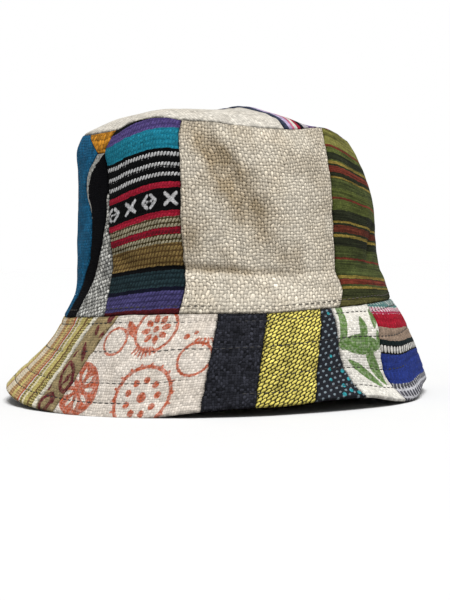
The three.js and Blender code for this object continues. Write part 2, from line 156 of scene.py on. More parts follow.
@dataclass(frozen=True)
class HatForm:
    """The smooth outer surfaces of the crown's side, the brim and the top cloth, in millimetres."""

    # angle, height of the seam to the brim, height of the seam round the top
    levels: Rows = (
        (-150, 49.7, 149.2), (-110, 48.0, 150.6), (-80, 47.5, 150.4), (-62, 48.6, 149.4),
        (-45, 50.0, 149.2), (-36, 50.9, 152.4), (-24, 51.5, 154.6), (-13, 51.6, 152.0),
        (0, 51.2, 150.2), (14, 50.7, 148.1), (30, 51.8, 147.4), (48, 52.8, 149.0),
        (66, 53.4, 144.2), (90, 53.5, 142.0), (130, 52.7, 144.7), (175, 51.2, 147.7),
    )
    # rise, half width, half depth, place of the middle on X
    sections: Rows = (
        (0.0, 93.7, 97.4, 7.5), (0.06, 91.2, 95.2, 8.4), (0.13, 88.7, 92.0, 9.2),
        (0.2, 86.9, 89.5, 8.3), (0.36, 86.1, 89.2, 7.5), (0.6, 84.8, 88.2, 7.5),
        (0.78, 83.0, 86.6, 6.0), (0.9, 80.9, 84.4, 4.0), (0.97, 77.9, 81.1, 3.6), (1.0, 76.2, 79.0, 3.7),
    )
    # angle and rise of a fold's middle, its turn from the level, half length, half width, depth
    folds: Rows = (
        (-2, 0.218, -3, 52, 2.4, 1.6), (2.5, 0.71, 120, 27, 8, 3.8), (20, 0.3, 0, 20, 4, 0.4),
        (-13, 0.34, 80, 12, 9, 1.1),
        (70, 0.35, 48, 15, 4, 2.6), (64, 0.47, 48, 17, 7, -1.2), (-41, 0.3, 150, 8, 3.6, 1.8),
        (-80, 0.5, 90, 24, 11, 0.8), (118, 0.5, 70, 26, 11, 1.8), (168, 0.27, 0, 40, 4.5, 1.4),
        (-140, 0.6, 110, 24, 10, 1.8),
    )
    # distance to the right of the top's seam, height and spread of a wave along it
    tip_waves: Rows = ((28, -14.0, 13), (56, -5.0, 14))
    # distance along the top's seam towards the front, height of the ridge just to its right
    tip_ridge: Rows = (
        (-60, 2.0), (-20, 4.5), (17, 3.7), (30, 2.4), (45, 0.6), (60, 0.4), (70, 2.0), (85, 3.0)
    )
    tip_ridge_middle: float = 4.0
    tip_ridge_spread: float = 6.0
    # angle, how far out the brim's edge reaches, its lift, the brim's bulge and its sway
    edges: Rows = (
        (-165, 119.5, 1.5, 1.0, 0.0), (-145, 119.5, -0.9, 1.0, 0.0), (-125, 119.8, -0.9, 0.5, -0.5),
        (-107, 120.6, 4.6, -1.6, -0.4), (-90, 121.0, 8.6, -2.1, -1.0), (-75, 120.2, 6.0, -1.8, -0.8),
        (-61, 118.6, 2.8, -1.2, -0.4), (-48, 117.2, 0.9, 0.0, 0.0), (-36, 117.0, -0.9, 0.5, 0.0),
        (-20, 117.4, -0.6, 0.9, 0.0), (-10, 118.0, 2.0, 1.0, 0.0), (3, 119.0, 4.6, 1.0, 0.0),
        (16, 120.0, 5.1, 1.0, 0.3), (28, 121.5, 6.9, 0.8, 1.0), (40, 123.8, 7.4, 0.0, 3.2),
        (50, 125.0, 3.6, 0.3, 3.4), (60, 124.4, 1.8, 1.4, 2.4), (72, 122.0, 6.6, 2.4, 1.2),
        (84, 120.8, 6.6, 3.0, 0.6), (98, 120.4, 0.6, 3.0, 0.5), (112, 120.2, -0.9, 2.2, 0.3),
        (128, 120.0, -0.9, 1.6, 0.0), (148, 119.6, -0.9, 1.2, 0.0), (170, 119.4, 1.8, 1.0, 0.0),
    )
    crown_radius: float = 87.0
    crown_height: float = 97.0
    brim_width: float = 54.0
    brim_radii: tuple[float, float] = (97.0, 119.5)
    tip_radius: float = 77.0
    tip_height: float = 161.4
    tip_fullness: float = 4.4  # how suddenly the top cloth falls near its rim
    tip_slope: float = -0.03  # how much it climbs for each millimetre to the right
    tip_seam_x: float = 5.0  # where the seam across it crosses X
    tip_seam_turn: float = 27.0  # how far that seam is turned from Y

    def fold_depth(self, angle: Array, rise: Array) -> Array:
        """Say how far the folds press the crown's side in.

        Args:
            angle: The places' angles.
            rise: Their rises.

        Returns:
            The depth of the folds there.
        """
        depth = np.zeros(np.broadcast(angle, rise).shape)
        for middle, height, turn, length, width, deep in self.folds:
            aside = np.radians(from_front(angle - middle)) * self.crown_radius
            up = (rise - height) * self.crown_height
            cosine, sine = math.cos(math.radians(turn)), math.sin(math.radians(turn))
            lengthwise = (aside * cosine + up * sine) / length
            crosswise = (up * cosine - aside * sine) / width
            depth = depth + deep * np.exp(-(lengthwise**2) - crosswise**2)
        return depth

    def crown(self, angle: Array, rise: Array) -> Array:
        """Give points of the crown's side.

        Args:
            angle: The places' angles.
            rise: Their rises.

        Returns:
            The points.
        """
        turn, push = np.radians(angle), self.fold_depth(angle, rise)
        half_width = smooth(self.sections, 1, rise) - push
        half_depth = smooth(self.sections, 2, rise) - push
        seam, rim = around(self.levels, 1, angle), around(self.levels, 2, angle)
        x = smooth(self.sections, 3, rise) + half_width * np.sin(turn)
        return stack(x, -half_depth * np.cos(turn), seam + rise * (rim - seam))

    def brim(self, angle: Array, drop: Array) -> Array:
        """Give points of the brim's upper side.

        Args:
            angle: The places' angles.
            drop: Their drops.

        Returns:
            The points.
        """
        turn, drop = np.radians(angle), np.asarray(drop, float)
        start = self.crown(angle, np.zeros_like(turn))
        reach = around(self.edges, 1, angle)
        end = stack(reach * np.sin(turn), -reach * np.cos(turn), around(self.edges, 2, angle))
        fall = end - start
        run = np.hypot(fall[..., 0], fall[..., 1])
        out = unit(stack(-np.sin(turn) * fall[..., 2], np.cos(turn) * fall[..., 2], run))
        bulge = around(self.edges, 3, angle) * np.sin(np.pi * drop)
        bulge = bulge + around(self.edges, 4, angle) * np.sin(2 * np.pi * drop)
        return start + fall * drop[..., None] + out * bulge[..., None]

    def from_tip_seam(self, x: Array, y: Array) -> tuple[Array, Array]:
        """Measure how far places on the top lie to the right of the seam across it, and along it.

        Args:
            x: The places' x.
            y: Their y.

        Returns:
            The distances to the right of the seam, and those along it towards the front.
        """
        turn = math.radians(self.tip_seam_turn)
        aside = (x - self.tip_seam_x) * math.cos(turn) + y * math.sin(turn)
        return aside, (x - self.tip_seam_x) * math.sin(turn) - y * math.cos(turn)

    def tip_share(self, x: Array, y: Array) -> tuple[Array, Array]:
        """Find where places on the top lie between its middle and the rim.

        Args:
            x: The places' x.
            y: Their y.

        Returns:
            Their angles, and their shares of the way from the middle to the rim.
        """
        _, width, depth, middle = self.sections[-1]
        angle = np.degrees(np.arctan2((x - middle) / width, -y / depth))
        push = self.fold_depth(angle, np.ones_like(angle))
        across, along = (x - middle) / (width - push), y / (depth - push)
        return np.degrees(np.arctan2(across, -along)), np.hypot(across, along)

    def tip(self, x: Array, y: Array) -> Array:
        """Give points of the top cloth's upper side.

        Args:
            x: The places' x.
            y: Their y.

        Returns:
            The points above those places.
        """
        angle, share = self.tip_share(x, y)
        middle = self.tip_height + self.tip_slope * (x - self.sections[-1][3])
        aside, forward = self.from_tip_seam(x, y)
        for offset, height, spread in self.tip_waves:
            middle = middle + height * bell(aside - offset, spread)
        forward = np.clip(forward, self.tip_ridge[0][0], self.tip_ridge[-1][0])
        ridge = bell(aside - self.tip_ridge_middle, self.tip_ridge_spread)
        middle = middle + smooth(self.tip_ridge, 1, forward) * ridge
        level = share**self.tip_fullness
        return stack(x, y, middle * (1 - level) + around(self.levels, 2, angle) * level)

    def crown_normal(self, angle: Array, rise: Array) -> Array:
        """Give the outward directions of the crown's side."""
        return self._across(self.crown, angle, rise)

    def brim_normal(self, angle: Array, drop: Array) -> Array:
        """Give the outward directions of the brim's upper side."""
        return -self._across(self.brim, angle, drop)

    def tip_normal(self, x: Array, y: Array, step: float = 0.4) -> Array:
        """Give the upward directions of the top cloth, from the points a step away on each side."""
        aside = self.tip(x + step, y) - self.tip(x - step, y)
        return unit(np.cross(aside, self.tip(x, y + step) - self.tip(x, y - step)))

    @staticmethod
    def _across(surface: Surface, angle: Array, place: Array, turn: float = 0.5, step: float = 0.01) -> Array:
        """Take the direction across a surface from the points beside each place on it.

        Args:
            surface: Gives the points at some angles and places.
            angle: The angles.
            place: The rises or drops.
            turn: How far to either side a neighbour lies, in degrees.
            step: How far it lies up or down.

        Returns:
            The directions, each one long.
        """
        low, high = np.maximum(place - step, 0), np.minimum(place + step, 1)
        aside = surface(angle + turn, place) - surface(angle - turn, place)
        return unit(np.cross(aside, surface(angle, high) - surface(angle, low)))


def cloth_noise(at: Array, size: float, seed: int) -> Array:
    """Make smooth hills and hollows over a cloth.

    Args:
        at: Places on the cloth, in millimetres.
        size: The distance between hills, in millimetres.
        seed: The start of the random numbers.

    Returns:
        Heights from about -1 to 1.
    """
    side = 64
    lattice = np.random.default_rng(seed).uniform(-1, 1, (side, side))
    grid = at / size
    cell = np.floor(grid).astype(int)
    part = grid - cell
    part = part * part * (3 - 2 * part)

    def at_column(j: int) -> Array:
        """Blend the two corners of each cell in one of its columns."""
        near, far = (lattice[(cell[..., 0] + i) % side, (cell[..., 1] + j) % side] for i in (0, 1))
        return near * (1 - part[..., 0]) + far * part[..., 0]

    return at_column(0) * (1 - part[..., 1]) + at_column(1) * part[..., 1]


def line_noise(along: Array, size: float, seed: int) -> Array:
    """Make smooth hills and hollows along a line."""
    return cloth_noise(stack(along, 0 * along), size, seed)


def wander(rows: Rows, place: Array) -> Array:
    """Let a seam wander a little, the same for both patches beside it.

    Args:
        rows: The seam's table, whose first angle starts the random numbers.
        place: The rises or drops along it.

    Returns:
        How far the seam wanders there, in degrees.
    """
    seed, run = SEAM_SEED + round(rows[0][1]) % 360, place * HatForm.crown_height
    waves = [size * line_noise(run, length, seed + index) for index, (size, length) in enumerate(SEAM_WAVES)]
    return np.sum(waves, axis=0)


def ticks(length: float, cell: float, edge: Sequence[float] = (0.0, 0.35, 0.75, 1.2, 1.8)) -> Array:
    """Share out a side of a patch, with rows close together near both its ends.

    Args:
        length: The side's length, in millimetres.
        cell: The distance between rows in the middle.
        edge: The distances of the first rows from an end.

    Returns:
        The rows' places along the side, from 0 to 1.
    """
    near = np.asarray(edge) * min(1.0, length / (2.6 * edge[-1]))
    inner = length - 2 * near[-1]
    middle = near[-1] + inner * np.linspace(0, 1, max(2, round(inner / cell)) + 1)
    return np.concatenate([near[:-1], middle, length - near[-2::-1]]) / length


def between_seams(left: Array, right: Array, radius: Array, cell: float) -> tuple[Array, Array, Array]:
    """Lay columns of points from one seam to another.

    Args:
        left: The left seam's angle in each row.
        right: The right seam's angle in each row.
        radius: The distance of each row from the hat's middle.
        cell: The distance between columns.

    Returns:
        The points' angles, and their distances to the left and to the right seam.
    """
    widest = float(np.max(np.radians(right - left) * radius))
    angle = left[:, None] + (right - left)[:, None] * ticks(widest, cell)
    to_left, to_right = np.radians(angle - left[:, None]), np.radians(right[:, None] - angle)
    return angle, to_left * radius[:, None], to_right * radius[:, None]


# Figures drawn on cloth, as distances to their edges in millimetres, below 0 inside them


def disc(at: Array, middle: Array, radius: float) -> Array:
    """Measure the distance to a disc's edge."""
    return np.linalg.norm(at - middle, axis=-1) - radius


def ring(at: Array, middle: Array, radius: float, width: float) -> Array:
    """Measure the distance to the edge of a ring of some width."""
    return np.abs(disc(at, middle, radius)) - width / 2


def stroke(at: Array, start: Array, end: Array, width: float) -> Array:
    """Measure the distance to the edge of a straight stroke with round ends.

    Args:
        at: Places on the cloth.
        start: The middle of one end.
        end: The middle of the other.
        width: The stroke's width.

    Returns:
        The distance.
    """
    start, end = np.asarray(start, float), np.asarray(end, float)
    line = end - start
    share = np.clip(((at - start) @ line) / (line @ line), 0, 1)
    return np.linalg.norm(at - start - share[..., None] * line, axis=-1) - width / 2


def leaf(at: Array, base: Array, tip: Array, width: float) -> Array:
    """Measure the distance to the edge of a leaf that is pointed at both ends.

    Args:
        at: Places on the cloth.
        base: One point of the leaf.
        tip: The other.
        width: The leaf's width in the middle.

    Returns:
        The distance.
    """
    base, tip = np.asarray(base, float), np.asarray(tip, float)
    half = np.linalg.norm(tip - base) / 2
    along = (tip - base) / (2 * half)
    across = np.array([-along[1], along[0]])
    radius = (half**2 + (width / 2) ** 2) / width
    middle = (base + tip) / 2
    sides = [disc(at, middle + across * sign * (radius - width / 2), radius) for sign in (-1, 1)]
    return np.maximum(*sides)


def spokes(count: int, turn: float) -> list[Array]:
    """List directions spread evenly round a circle, the first turned by some degrees."""
    angles = [math.radians(turn + 360 * spoke / count) for spoke in range(count)]
    return [np.array([math.cos(angle), math.sin(angle)]) for angle in angles]


def rosette(at: Array, middle: Array, radius: float, petals: int, turn: float) -> Array:
    """Measure the distance to a ring of petals round a dot, inside a plain ring.

    Args:
        at: Places on the cloth.
        middle: The rosette's middle.
        radius: The radius of its outer ring.
        petals: How many petals it has.
        turn: The angle of the first petal, in degrees.

    Returns:
        The distance.
    """
    shapes = [ring(at, middle, radius, 1.6), disc(at, middle, 0.15 * radius)]
    for way in spokes(petals, turn):
        way = way * radius
        shapes.append(leaf(at, middle + 0.26 * way, middle + 0.72 * way, 0.28 * radius))
    return np.minimum.reduce(shapes)


def sun(at: Array, middle: Array, radius: float, rays: int, turn: float) -> Array:
    """Measure the distance to a ring with short rays outside it and dots inside it.

    Args:
        at: Places on the cloth.
        middle: The sun's middle.
        radius: The radius of the ring.
        rays: How many rays it has, with a dot for every other one.
        turn: The angle of the first ray, in degrees.

    Returns:
        The distance.
    """
    shapes = [ring(at, middle, radius, 1.9), disc(at, middle, 0.17 * radius)]
    for index, way in enumerate(spokes(rays, turn)):
        way = way * radius
        shapes.append(stroke(at, middle + 1.02 * way, middle + 1.12 * way, 1.3))
        if index % 2 == 0:
            shapes.append(disc(at, middle + 0.56 * way, 0.12 * radius))
    return np.minimum.reduce(shapes)


def fan(at: Array, top: Array, width: float, height: float, strokes: int) -> Array:
    """Measure the distance to short strokes that spread downwards like a fan.

    Args:
        at: Places on the cloth.
        top: The middle of the fan's upper side.
        width: The width of its upper side.
        height: The strokes' length.
        strokes: How many strokes it has.

    Returns:
        The distance to the nearest stroke's edge.
    """
    shapes = []
    for place in np.linspace(-0.5, 0.5, strokes):
        start = top + np.array([place * width, 0.0])
        shapes.append(stroke(at, start, start + np.array([place * 4.0, -height * (1 - abs(place))]), 1.1))
    return np.minimum.reduce(shapes)


def cut_disc(at: Array, middle: Array, radius: float) -> Array:
    """Measure the distance to a full disc with thin petals left out of it.

    Args:
        at: Places on the cloth.
        middle: The disc's middle.
        radius: Its radius.

    Returns:
        The distance.
    """
    shape = disc(at, middle, radius)
    for petal in range(9):
        way = np.array([math.cos(0.7 * petal), math.sin(0.7 * petal)])
        shape = np.maximum(shape, -leaf(at, middle + way * 4.0, middle + way * 11.4, 2.4))
    return shape


# Shader nodes


class Wire:
    """A node's output, on which plain arithmetic adds Math nodes."""

    def __init__(self, nodes: "Nodes", socket: bpy.types.NodeSocket) -> None:
        """Hold the output and the adder of nodes that it belongs to."""
        self.nodes, self.socket = nodes, socket

    def __add__(self, other: "Wire | float") -> "Wire":
        """Add a number."""
        return self.nodes.math("ADD", self, other)

    def __sub__(self, other: "Wire | float") -> "Wire":
        """Take a number away."""
        return self.nodes.math("SUBTRACT", self, other)

    def __rsub__(self, other: float) -> "Wire":
        """Take this away from a number."""
        return self.nodes.math("SUBTRACT", other, self)

    def __mul__(self, other: "Wire | float") -> "Wire":
        """Multiply by a number."""
        return self.nodes.math("MULTIPLY", self, other)

    def __truediv__(self, other: "Wire | float") -> "Wire":
        """Divide by a number."""
        return self.nodes.math("DIVIDE", self, other)

    def __pow__(self, other: "Wire | float") -> "Wire":
        """Raise to a power."""
        return self.nodes.math("POWER", self, other)


Value = Wire | float | tuple[float, ...] | None


class Nodes:
    """Adds nodes to one tree, with short calls for the kinds that cloth is made of."""

    def __init__(self, tree: bpy.types.NodeTree) -> None:
        """Start on an empty tree."""
        self.tree = tree
        tree.nodes.clear()

    def add(self, kind: str, **settings: object) -> bpy.types.Node:
        """Add a node.

        Args:
            kind: Blender's name for its type.
            settings: Properties of the node and their values.

        Returns:
            The node.
        """
        node = self.tree.nodes.new(kind)
        for name, value in settings.items():
            setattr(node, name, value)
        return node

    def feed(self, socket: bpy.types.NodeSocket, value: Value) -> None:
        """Link a wire into a socket, or set the socket to a plain value.

        Args:
            socket: The input to feed.
            value: The wire, number, vector or colour; nothing leaves the socket as it is.
        """
        if isinstance(value, Wire):
            self.tree.links.new(value.socket, socket)
        elif value is not None:
            colour = isinstance(value, tuple) and socket.type == "RGBA"
            socket.default_value = (*value, 1.0) if colour else value

    def wire(self, kind: str, values: Sequence[Value], output: int = 0, **settings: object) -> Wire:
        """Add a node and feed its first inputs.

        Args:
            kind: Blender's name for its type.
            values: What goes into its inputs, in order.
            output: The number of the output that is wanted.
            settings: Properties of the node and their values.

        Returns:
            The output.
        """
        node = self.add(kind, **settings)
        for socket, value in zip(node.inputs, values):
            self.feed(socket, value)
        return Wire(self, node.outputs[output])

    def math(self, operation: str, *numbers: Value) -> Wire:
        """Combine numbers by one operation of a Math node."""
        return self.wire("ShaderNodeMath", numbers, operation=operation)

    def vector(self, operation: str, a: Value, b: Value = None, scale: Value = None) -> Wire:
        """Combine vectors by one operation of a Vector Math node."""
        return self.wire("ShaderNodeVectorMath", (a, b, None, scale), operation=operation)

    def mix(self, share: Value, a: Value, b: Value, blend: str = "MIX") -> Wire:
        """Mix two colours.

        Args:
            share: The second colour's share.
            a: The first colour.
            b: The second colour.
            blend: Blender's name for the way of mixing.

        Returns:
            The mixed colour.
        """
        node = self.add("ShaderNodeMix", data_type="RGBA", blend_type=blend)
        colours = [socket for socket in node.inputs if socket.type == "RGBA"]
        for socket, value in zip((node.inputs["Factor"], *colours), (share, a, b)):
            self.feed(socket, value)
        return Wire(self, next(socket for socket in node.outputs if socket.type == "RGBA"))

    def between(self, value: Value, low: float, high: float, out: tuple[float, float] = (0.0, 1.0)) -> Wire:
        """Bring a number from one range to another on a soft step, and hold it there."""
        return self.wire("ShaderNodeMapRange", (value, low, high, *out), interpolation_type="SMOOTHSTEP")

    def noise(self, at: Value, scale: float, detail: float = 2.0, colour: bool = False) -> Wire:
        """Add smooth noise, as a number or a colour.

        Args:
            at: The place.
            scale: How many hills there are to each unit of the place.
            detail: How many finer noises are added to it.
            colour: Whether three noises are wanted, as a colour.

        Returns:
            The noise, from 0 to 1.
        """
        values = (at, None, scale, detail)
        return self.wire("ShaderNodeTexNoise", values, 1 if colour else 0, noise_dimensions="3D")

    def chance(self, number: Value) -> Wire:
        """Give each whole number a random value of its own."""
        return self.wire("ShaderNodeTexWhiteNoise", (None, number), noise_dimensions="1D")

    def attribute(self, name: str) -> Wire:
        """Read one of the mesh's number attributes."""
        return Wire(self, self.add("ShaderNodeAttribute", attribute_name=name).outputs["Fac"])

    def cloth_map(self) -> Wire:
        """Read the cloth's own UV map."""
        return self.wire("ShaderNodeUVMap", (), uv_map=CLOTH_MAP)

    def split(self, place: Value) -> tuple[Wire, Wire]:
        """Take a place's x and y."""
        x = self.wire("ShaderNodeSeparateXYZ", (place,))
        return x, Wire(self, x.socket.node.outputs["Y"])

    def sway(self, at: Value, scale: float, most: Value) -> Wire:
        """Make a random offset that changes smoothly from place to place.

        Args:
            at: The place.
            scale: How many hills there are to each unit of the place.
            most: The offset's range from one side to the other.

        Returns:
            The offset.
        """
        drift = self.vector("SUBTRACT", self.noise(at, scale, colour=True), (0.5, 0.5, 0.5))
        return self.vector("SCALE", drift, scale=most)

    def bands(self, across: Wire, bands: Sequence[tuple[float, Colour]]) -> Wire:
        """Colour a length in bands with sharp edges.

        Args:
            across: The place across the bands, in millimetres.
            bands: Each band's width and colour, in order.

        Returns:
            The colour at the place.
        """
        length = sum(width for width, _ in bands)
        node = self.add("ShaderNodeValToRGB")
        ramp = node.color_ramp
        ramp.interpolation = "CONSTANT"
        start = 0.0
        for index, (width, colour) in enumerate(bands):
            place = min(start / length, 1.0)
            stop = ramp.elements[index] if index < 2 else ramp.elements.new(place)
            stop.position = place
            stop.color = (*colour, 1.0)
            start += width
        self.feed(node.inputs[0], across / length)
        return Wire(self, node.outputs[0])

    def group(self, tree: bpy.types.NodeTree, cloth: Wire, **values: Value) -> dict[str, Wire]:
        """Place a shared group.

        Args:
            tree: The group.
            cloth: The place on the cloth, in millimetres.
            values: What goes into its other inputs, by name.

        Returns:
            Its outputs by name.
        """
        node = self.add("ShaderNodeGroup", node_tree=tree)
        for name, value in {"Cloth": cloth, **values}.items():
            self.feed(node.inputs[name], value)
        return {socket.name: Wire(self, socket) for socket in node.outputs}

    def bump(self, shader: bpy.types.Node, height: Wire, distance: float) -> None:
        """Raise a shader's surface.

        Args:
            shader: The shader.
            height: The relief.
            distance: How far a height of one stands out, in metres.
        """
        node = self.add("ShaderNodeBump")
        node.inputs["Distance"].default_value = distance
        self.feed(node.inputs["Height"], height)
        self.feed(shader.inputs["Normal"], Wire(self, node.outputs[0]))


def new_material(name: str) -> tuple[bpy.types.Material, Nodes, bpy.types.Node]:
    """Start a material.

    Args:
        name: The material's name.

    Returns:
        The material, the adder of its nodes, and its shader.
    """
    made = bpy.data.materials.new(name)
    made.use_nodes = True
    nodes = Nodes(made.node_tree)
    out, shader = nodes.add("ShaderNodeOutputMaterial"), nodes.add("ShaderNodeBsdfPrincipled")
    nodes.feed(out.inputs["Surface"], Wire(nodes, shader.outputs[0]))
    return made, nodes, shader


def new_group(name: str, inputs: dict[str, float]) -> tuple[Nodes, dict[str, Wire]]:
    """Start a shader node group.

    Args:
        name: The group's name.
        inputs: Its number inputs and their values; it also has a vector input named Cloth.

    Returns:
        The adder of its nodes, and its inputs by name.
    """
    tree = bpy.data.node_groups.new(name, "ShaderNodeTree")
    tree.interface.new_socket("Cloth", in_out="INPUT", socket_type="NodeSocketVector")
    for socket, value in inputs.items():
        tree.interface.new_socket(socket, in_out="INPUT", socket_type="NodeSocketFloat").default_value = value
    nodes = Nodes(tree)
    entry = nodes.add("NodeGroupInput")
    return nodes, {socket.name: Wire(nodes, socket) for socket in entry.outputs}


def put_out(nodes: Nodes, **results: Wire) -> bpy.types.NodeTree:
    """Finish a shader node group.

    Args:
        nodes: The adder of its nodes.
        results: Its number outputs and what they give.

    Returns:
        The group.
    """
    for name in results:
        nodes.tree.interface.new_socket(name, in_out="OUTPUT", socket_type="NodeSocketFloat")
    exit_node = nodes.add("NodeGroupOutput")
    for name, wire in results.items():
        nodes.feed(exit_node.inputs[name], wire)
    return nodes.tree


def plain_weave_group() -> bpy.types.NodeTree:
    """Build the group that weaves warp and weft yarns one over one.

    Returns:
        A group whose Height is the yarns' relief, Pits the holes between them, Yarn a value of each
        yarn's own, Crossing a value of each crossing's own and Over 1 where a warp yarn lies on top.
    """
    nodes, given = new_group("plain weave", {"Warp": 2.0, "Weft": 2.0, "Wander": 0.3, "Round": 0.7})
    cloth, sway = given["Cloth"], given["Wander"]
    moved = nodes.vector("ADD", cloth, nodes.sway(cloth, 0.11, sway * 9.0))
    x, y = nodes.split(nodes.vector("ADD", moved, nodes.sway(cloth, 0.45, sway * 3.2)))
    across, along = x / given["Warp"], y / given["Weft"]
    waves = [nodes.math("SINE", place * math.pi) for place in (across, along)]
    heights = []
    for own, other, side in ((*waves, 0.5), (*reversed(waves), -0.5)):
        body = nodes.math("ABSOLUTE", own) ** given["Round"]
        heights.append(body * (nodes.math("SIGN", own) * other * side + 0.5))
    height, warp_up = nodes.math("MAXIMUM", *heights), nodes.math("GREATER_THAN", *heights)
    column, row = nodes.math("FLOOR", across), nodes.math("FLOOR", along)
    warp_yarn, weft_yarn = nodes.chance(column), nodes.chance(row + 371.0)
    slub = nodes.noise(nodes.vector("MULTIPLY", cloth, (0.35, 0.9, 1.0)), 1.0)
    return put_out(
        nodes, Height=height, Pits=nodes.between(height, 0.12, 0.55, (1.0, 0.0)),
        Yarn=(weft_yarn + warp_up * (warp_yarn - weft_yarn)) * 0.6 + slub * 0.4,
        Crossing=nodes.chance(row * 57.0 + column), Over=warp_up,
    )


def floats_group() -> bpy.types.NodeTree:
    """Build the group that lays short yarns on top of a cloth, each row moved along from the last.

    Returns:
        A group whose Mask is 1 on the short yarns and Height their relief.
    """
    nodes, given = new_group(
        "short floats", {"Length": 2.4, "Row": 1.2, "Step": 0.8, "Cover": 0.9, "Lean": 0.0, "Slant": 0.0}
    )
    cloth = given["Cloth"]
    x, y = nodes.split(nodes.vector("ADD", cloth, nodes.sway(cloth, 0.5, 0.9)))
    along = (y - x * given["Lean"]) / given["Row"]
    step = nodes.math("FLOOR", along) * given["Step"] - nodes.math("FRACT", along) * given["Slant"]
    across = (x + step) / given["Length"]
    rest: Wire | float = 1.0
    for place in (across, along):
        aside = (nodes.math("FRACT", place) - 0.5) * 2.0 / given["Cover"]
        rest = rest - nodes.math("ABSOLUTE", aside) ** 2.6
    height = nodes.math("MAXIMUM", rest, 0.0) ** 0.5
    return put_out(nodes, Mask=nodes.between(rest, -0.12, 0.28), Height=height)


def wear_and_shade_group() -> bpy.types.NodeTree:
    """Build the group that darkens a cloth towards its seams and lets its colour cloud.

    The darkening at the seams is painted shade of the seam grooves, mixed with soil.

    Returns:
        A group whose Shade multiplies the cloth's colour, Fuzz is a fine tangle of fibre ends and
        whose last output says where the cloth browns: in random stains, in its folds, where that is
        partly stain and partly painted shade, and on the hemp above its crease, where it is painted
        shade.
    """
    nodes, given = new_group("worn and shaded cloth", {"Seam": 10.0, "Hollow": 0.0, "Soil": 0.35, "Cloud": 0.1})
    cloth = given["Cloth"]
    # painted shade of the seam grooves, mixed with soil: darkest at the seam, broken up by noise
    near = nodes.math("EXPONENT", nodes.math("MAXIMUM", given["Seam"], 0.0) * -1.1)
    near = near * nodes.between(nodes.noise(cloth, 0.3, 3.0), 0.3, 0.7, (0.2, 1.7))
    clouds = (nodes.noise(cloth, 0.045, 3.0) - 0.5) + (nodes.noise(cloth, 0.2, 3.0) - 0.5) * 1.5
    patchy = nodes.between(nodes.noise(cloth, 0.06, 4.0), 0.38, 0.66)
    # browning in the folds, partly stain and partly painted shade; on the crown's hemp this also holds
    # painted shade above the crease
    folded = nodes.between(given["Hollow"], 0.2, 3.0)
    return put_out(
        nodes, Shade=(1.0 - near * given["Soil"]) * (clouds * given["Cloud"] + 1.0),
        Fuzz=nodes.noise(cloth, 4.5, 3.0), Stain=folded * (patchy * 0.25 + 0.75) + patchy * 0.3,
    )


class Groups:
    """The node groups that every cloth shares, each built once."""

    def __init__(self) -> None:
        """Build the groups."""
        self.weave = plain_weave_group()
        self.floats = floats_group()
        self.wear_and_shade = wear_and_shade_group()


# Finishes

WHITENESS = (1.0, 1.0, 1.0)
STAIN_AND_SHADE = (0.57, 0.5, 0.4)  # what stains, and the painted shade in folds and above the hemp's crease, multiply a cloth's colour by


@dataclass(frozen=True)
class Weave:
    """How a cloth is woven. Lengths are in millimetres."""

    warp: float  # from one warp yarn to the next
    weft: float  # from one weft yarn to the next
    relief: float  # the yarns' height
    wander: float  # how far the yarns stray
    pits: float  # how strongly painted shade darkens the holes between yarns
    uneven: float  # how much the tone changes from yarn to yarn
    fuzz: float = 0.12  # the height of the fibre ends
    round: float = 0.7  # the power that shapes a yarn's back, where 1 is a sine
    mottle: float = 0.4  # how much the tone changes from crossing to crossing
    checker: float = 0.12  # how much lighter warp yarns on top are painted than weft yarns, painted light and shade of how the lamp falls on them
    pit: Colour = (0.1, 0.08, 0.06)  # what the painted shade in the holes multiplies the colour by


@dataclass(frozen=True)
class Floats:
    """Short yarns of a second colour on top of a cloth, in millimetres."""

    length: float  # from one short yarn to the next in its row
    row: float  # from one row to the next
    step: float  # how far each row is moved along from the last
    cover: float  # the share of the ground that they hide
    lean: float  # the slope of the rows
    relief: float  # their height
    slant: float = 0.0  # how far each yarn leans from its foot to its head
    from_band: float | None = None  # where rows follow the stripes, the place across them of row 0


@dataclass(frozen=True)
class Band:
    """One stripe: its width in millimetres, its ground colour and the colour of the short yarns on it."""

    width: float
    ground: Colour
    yarn: Colour | None = None


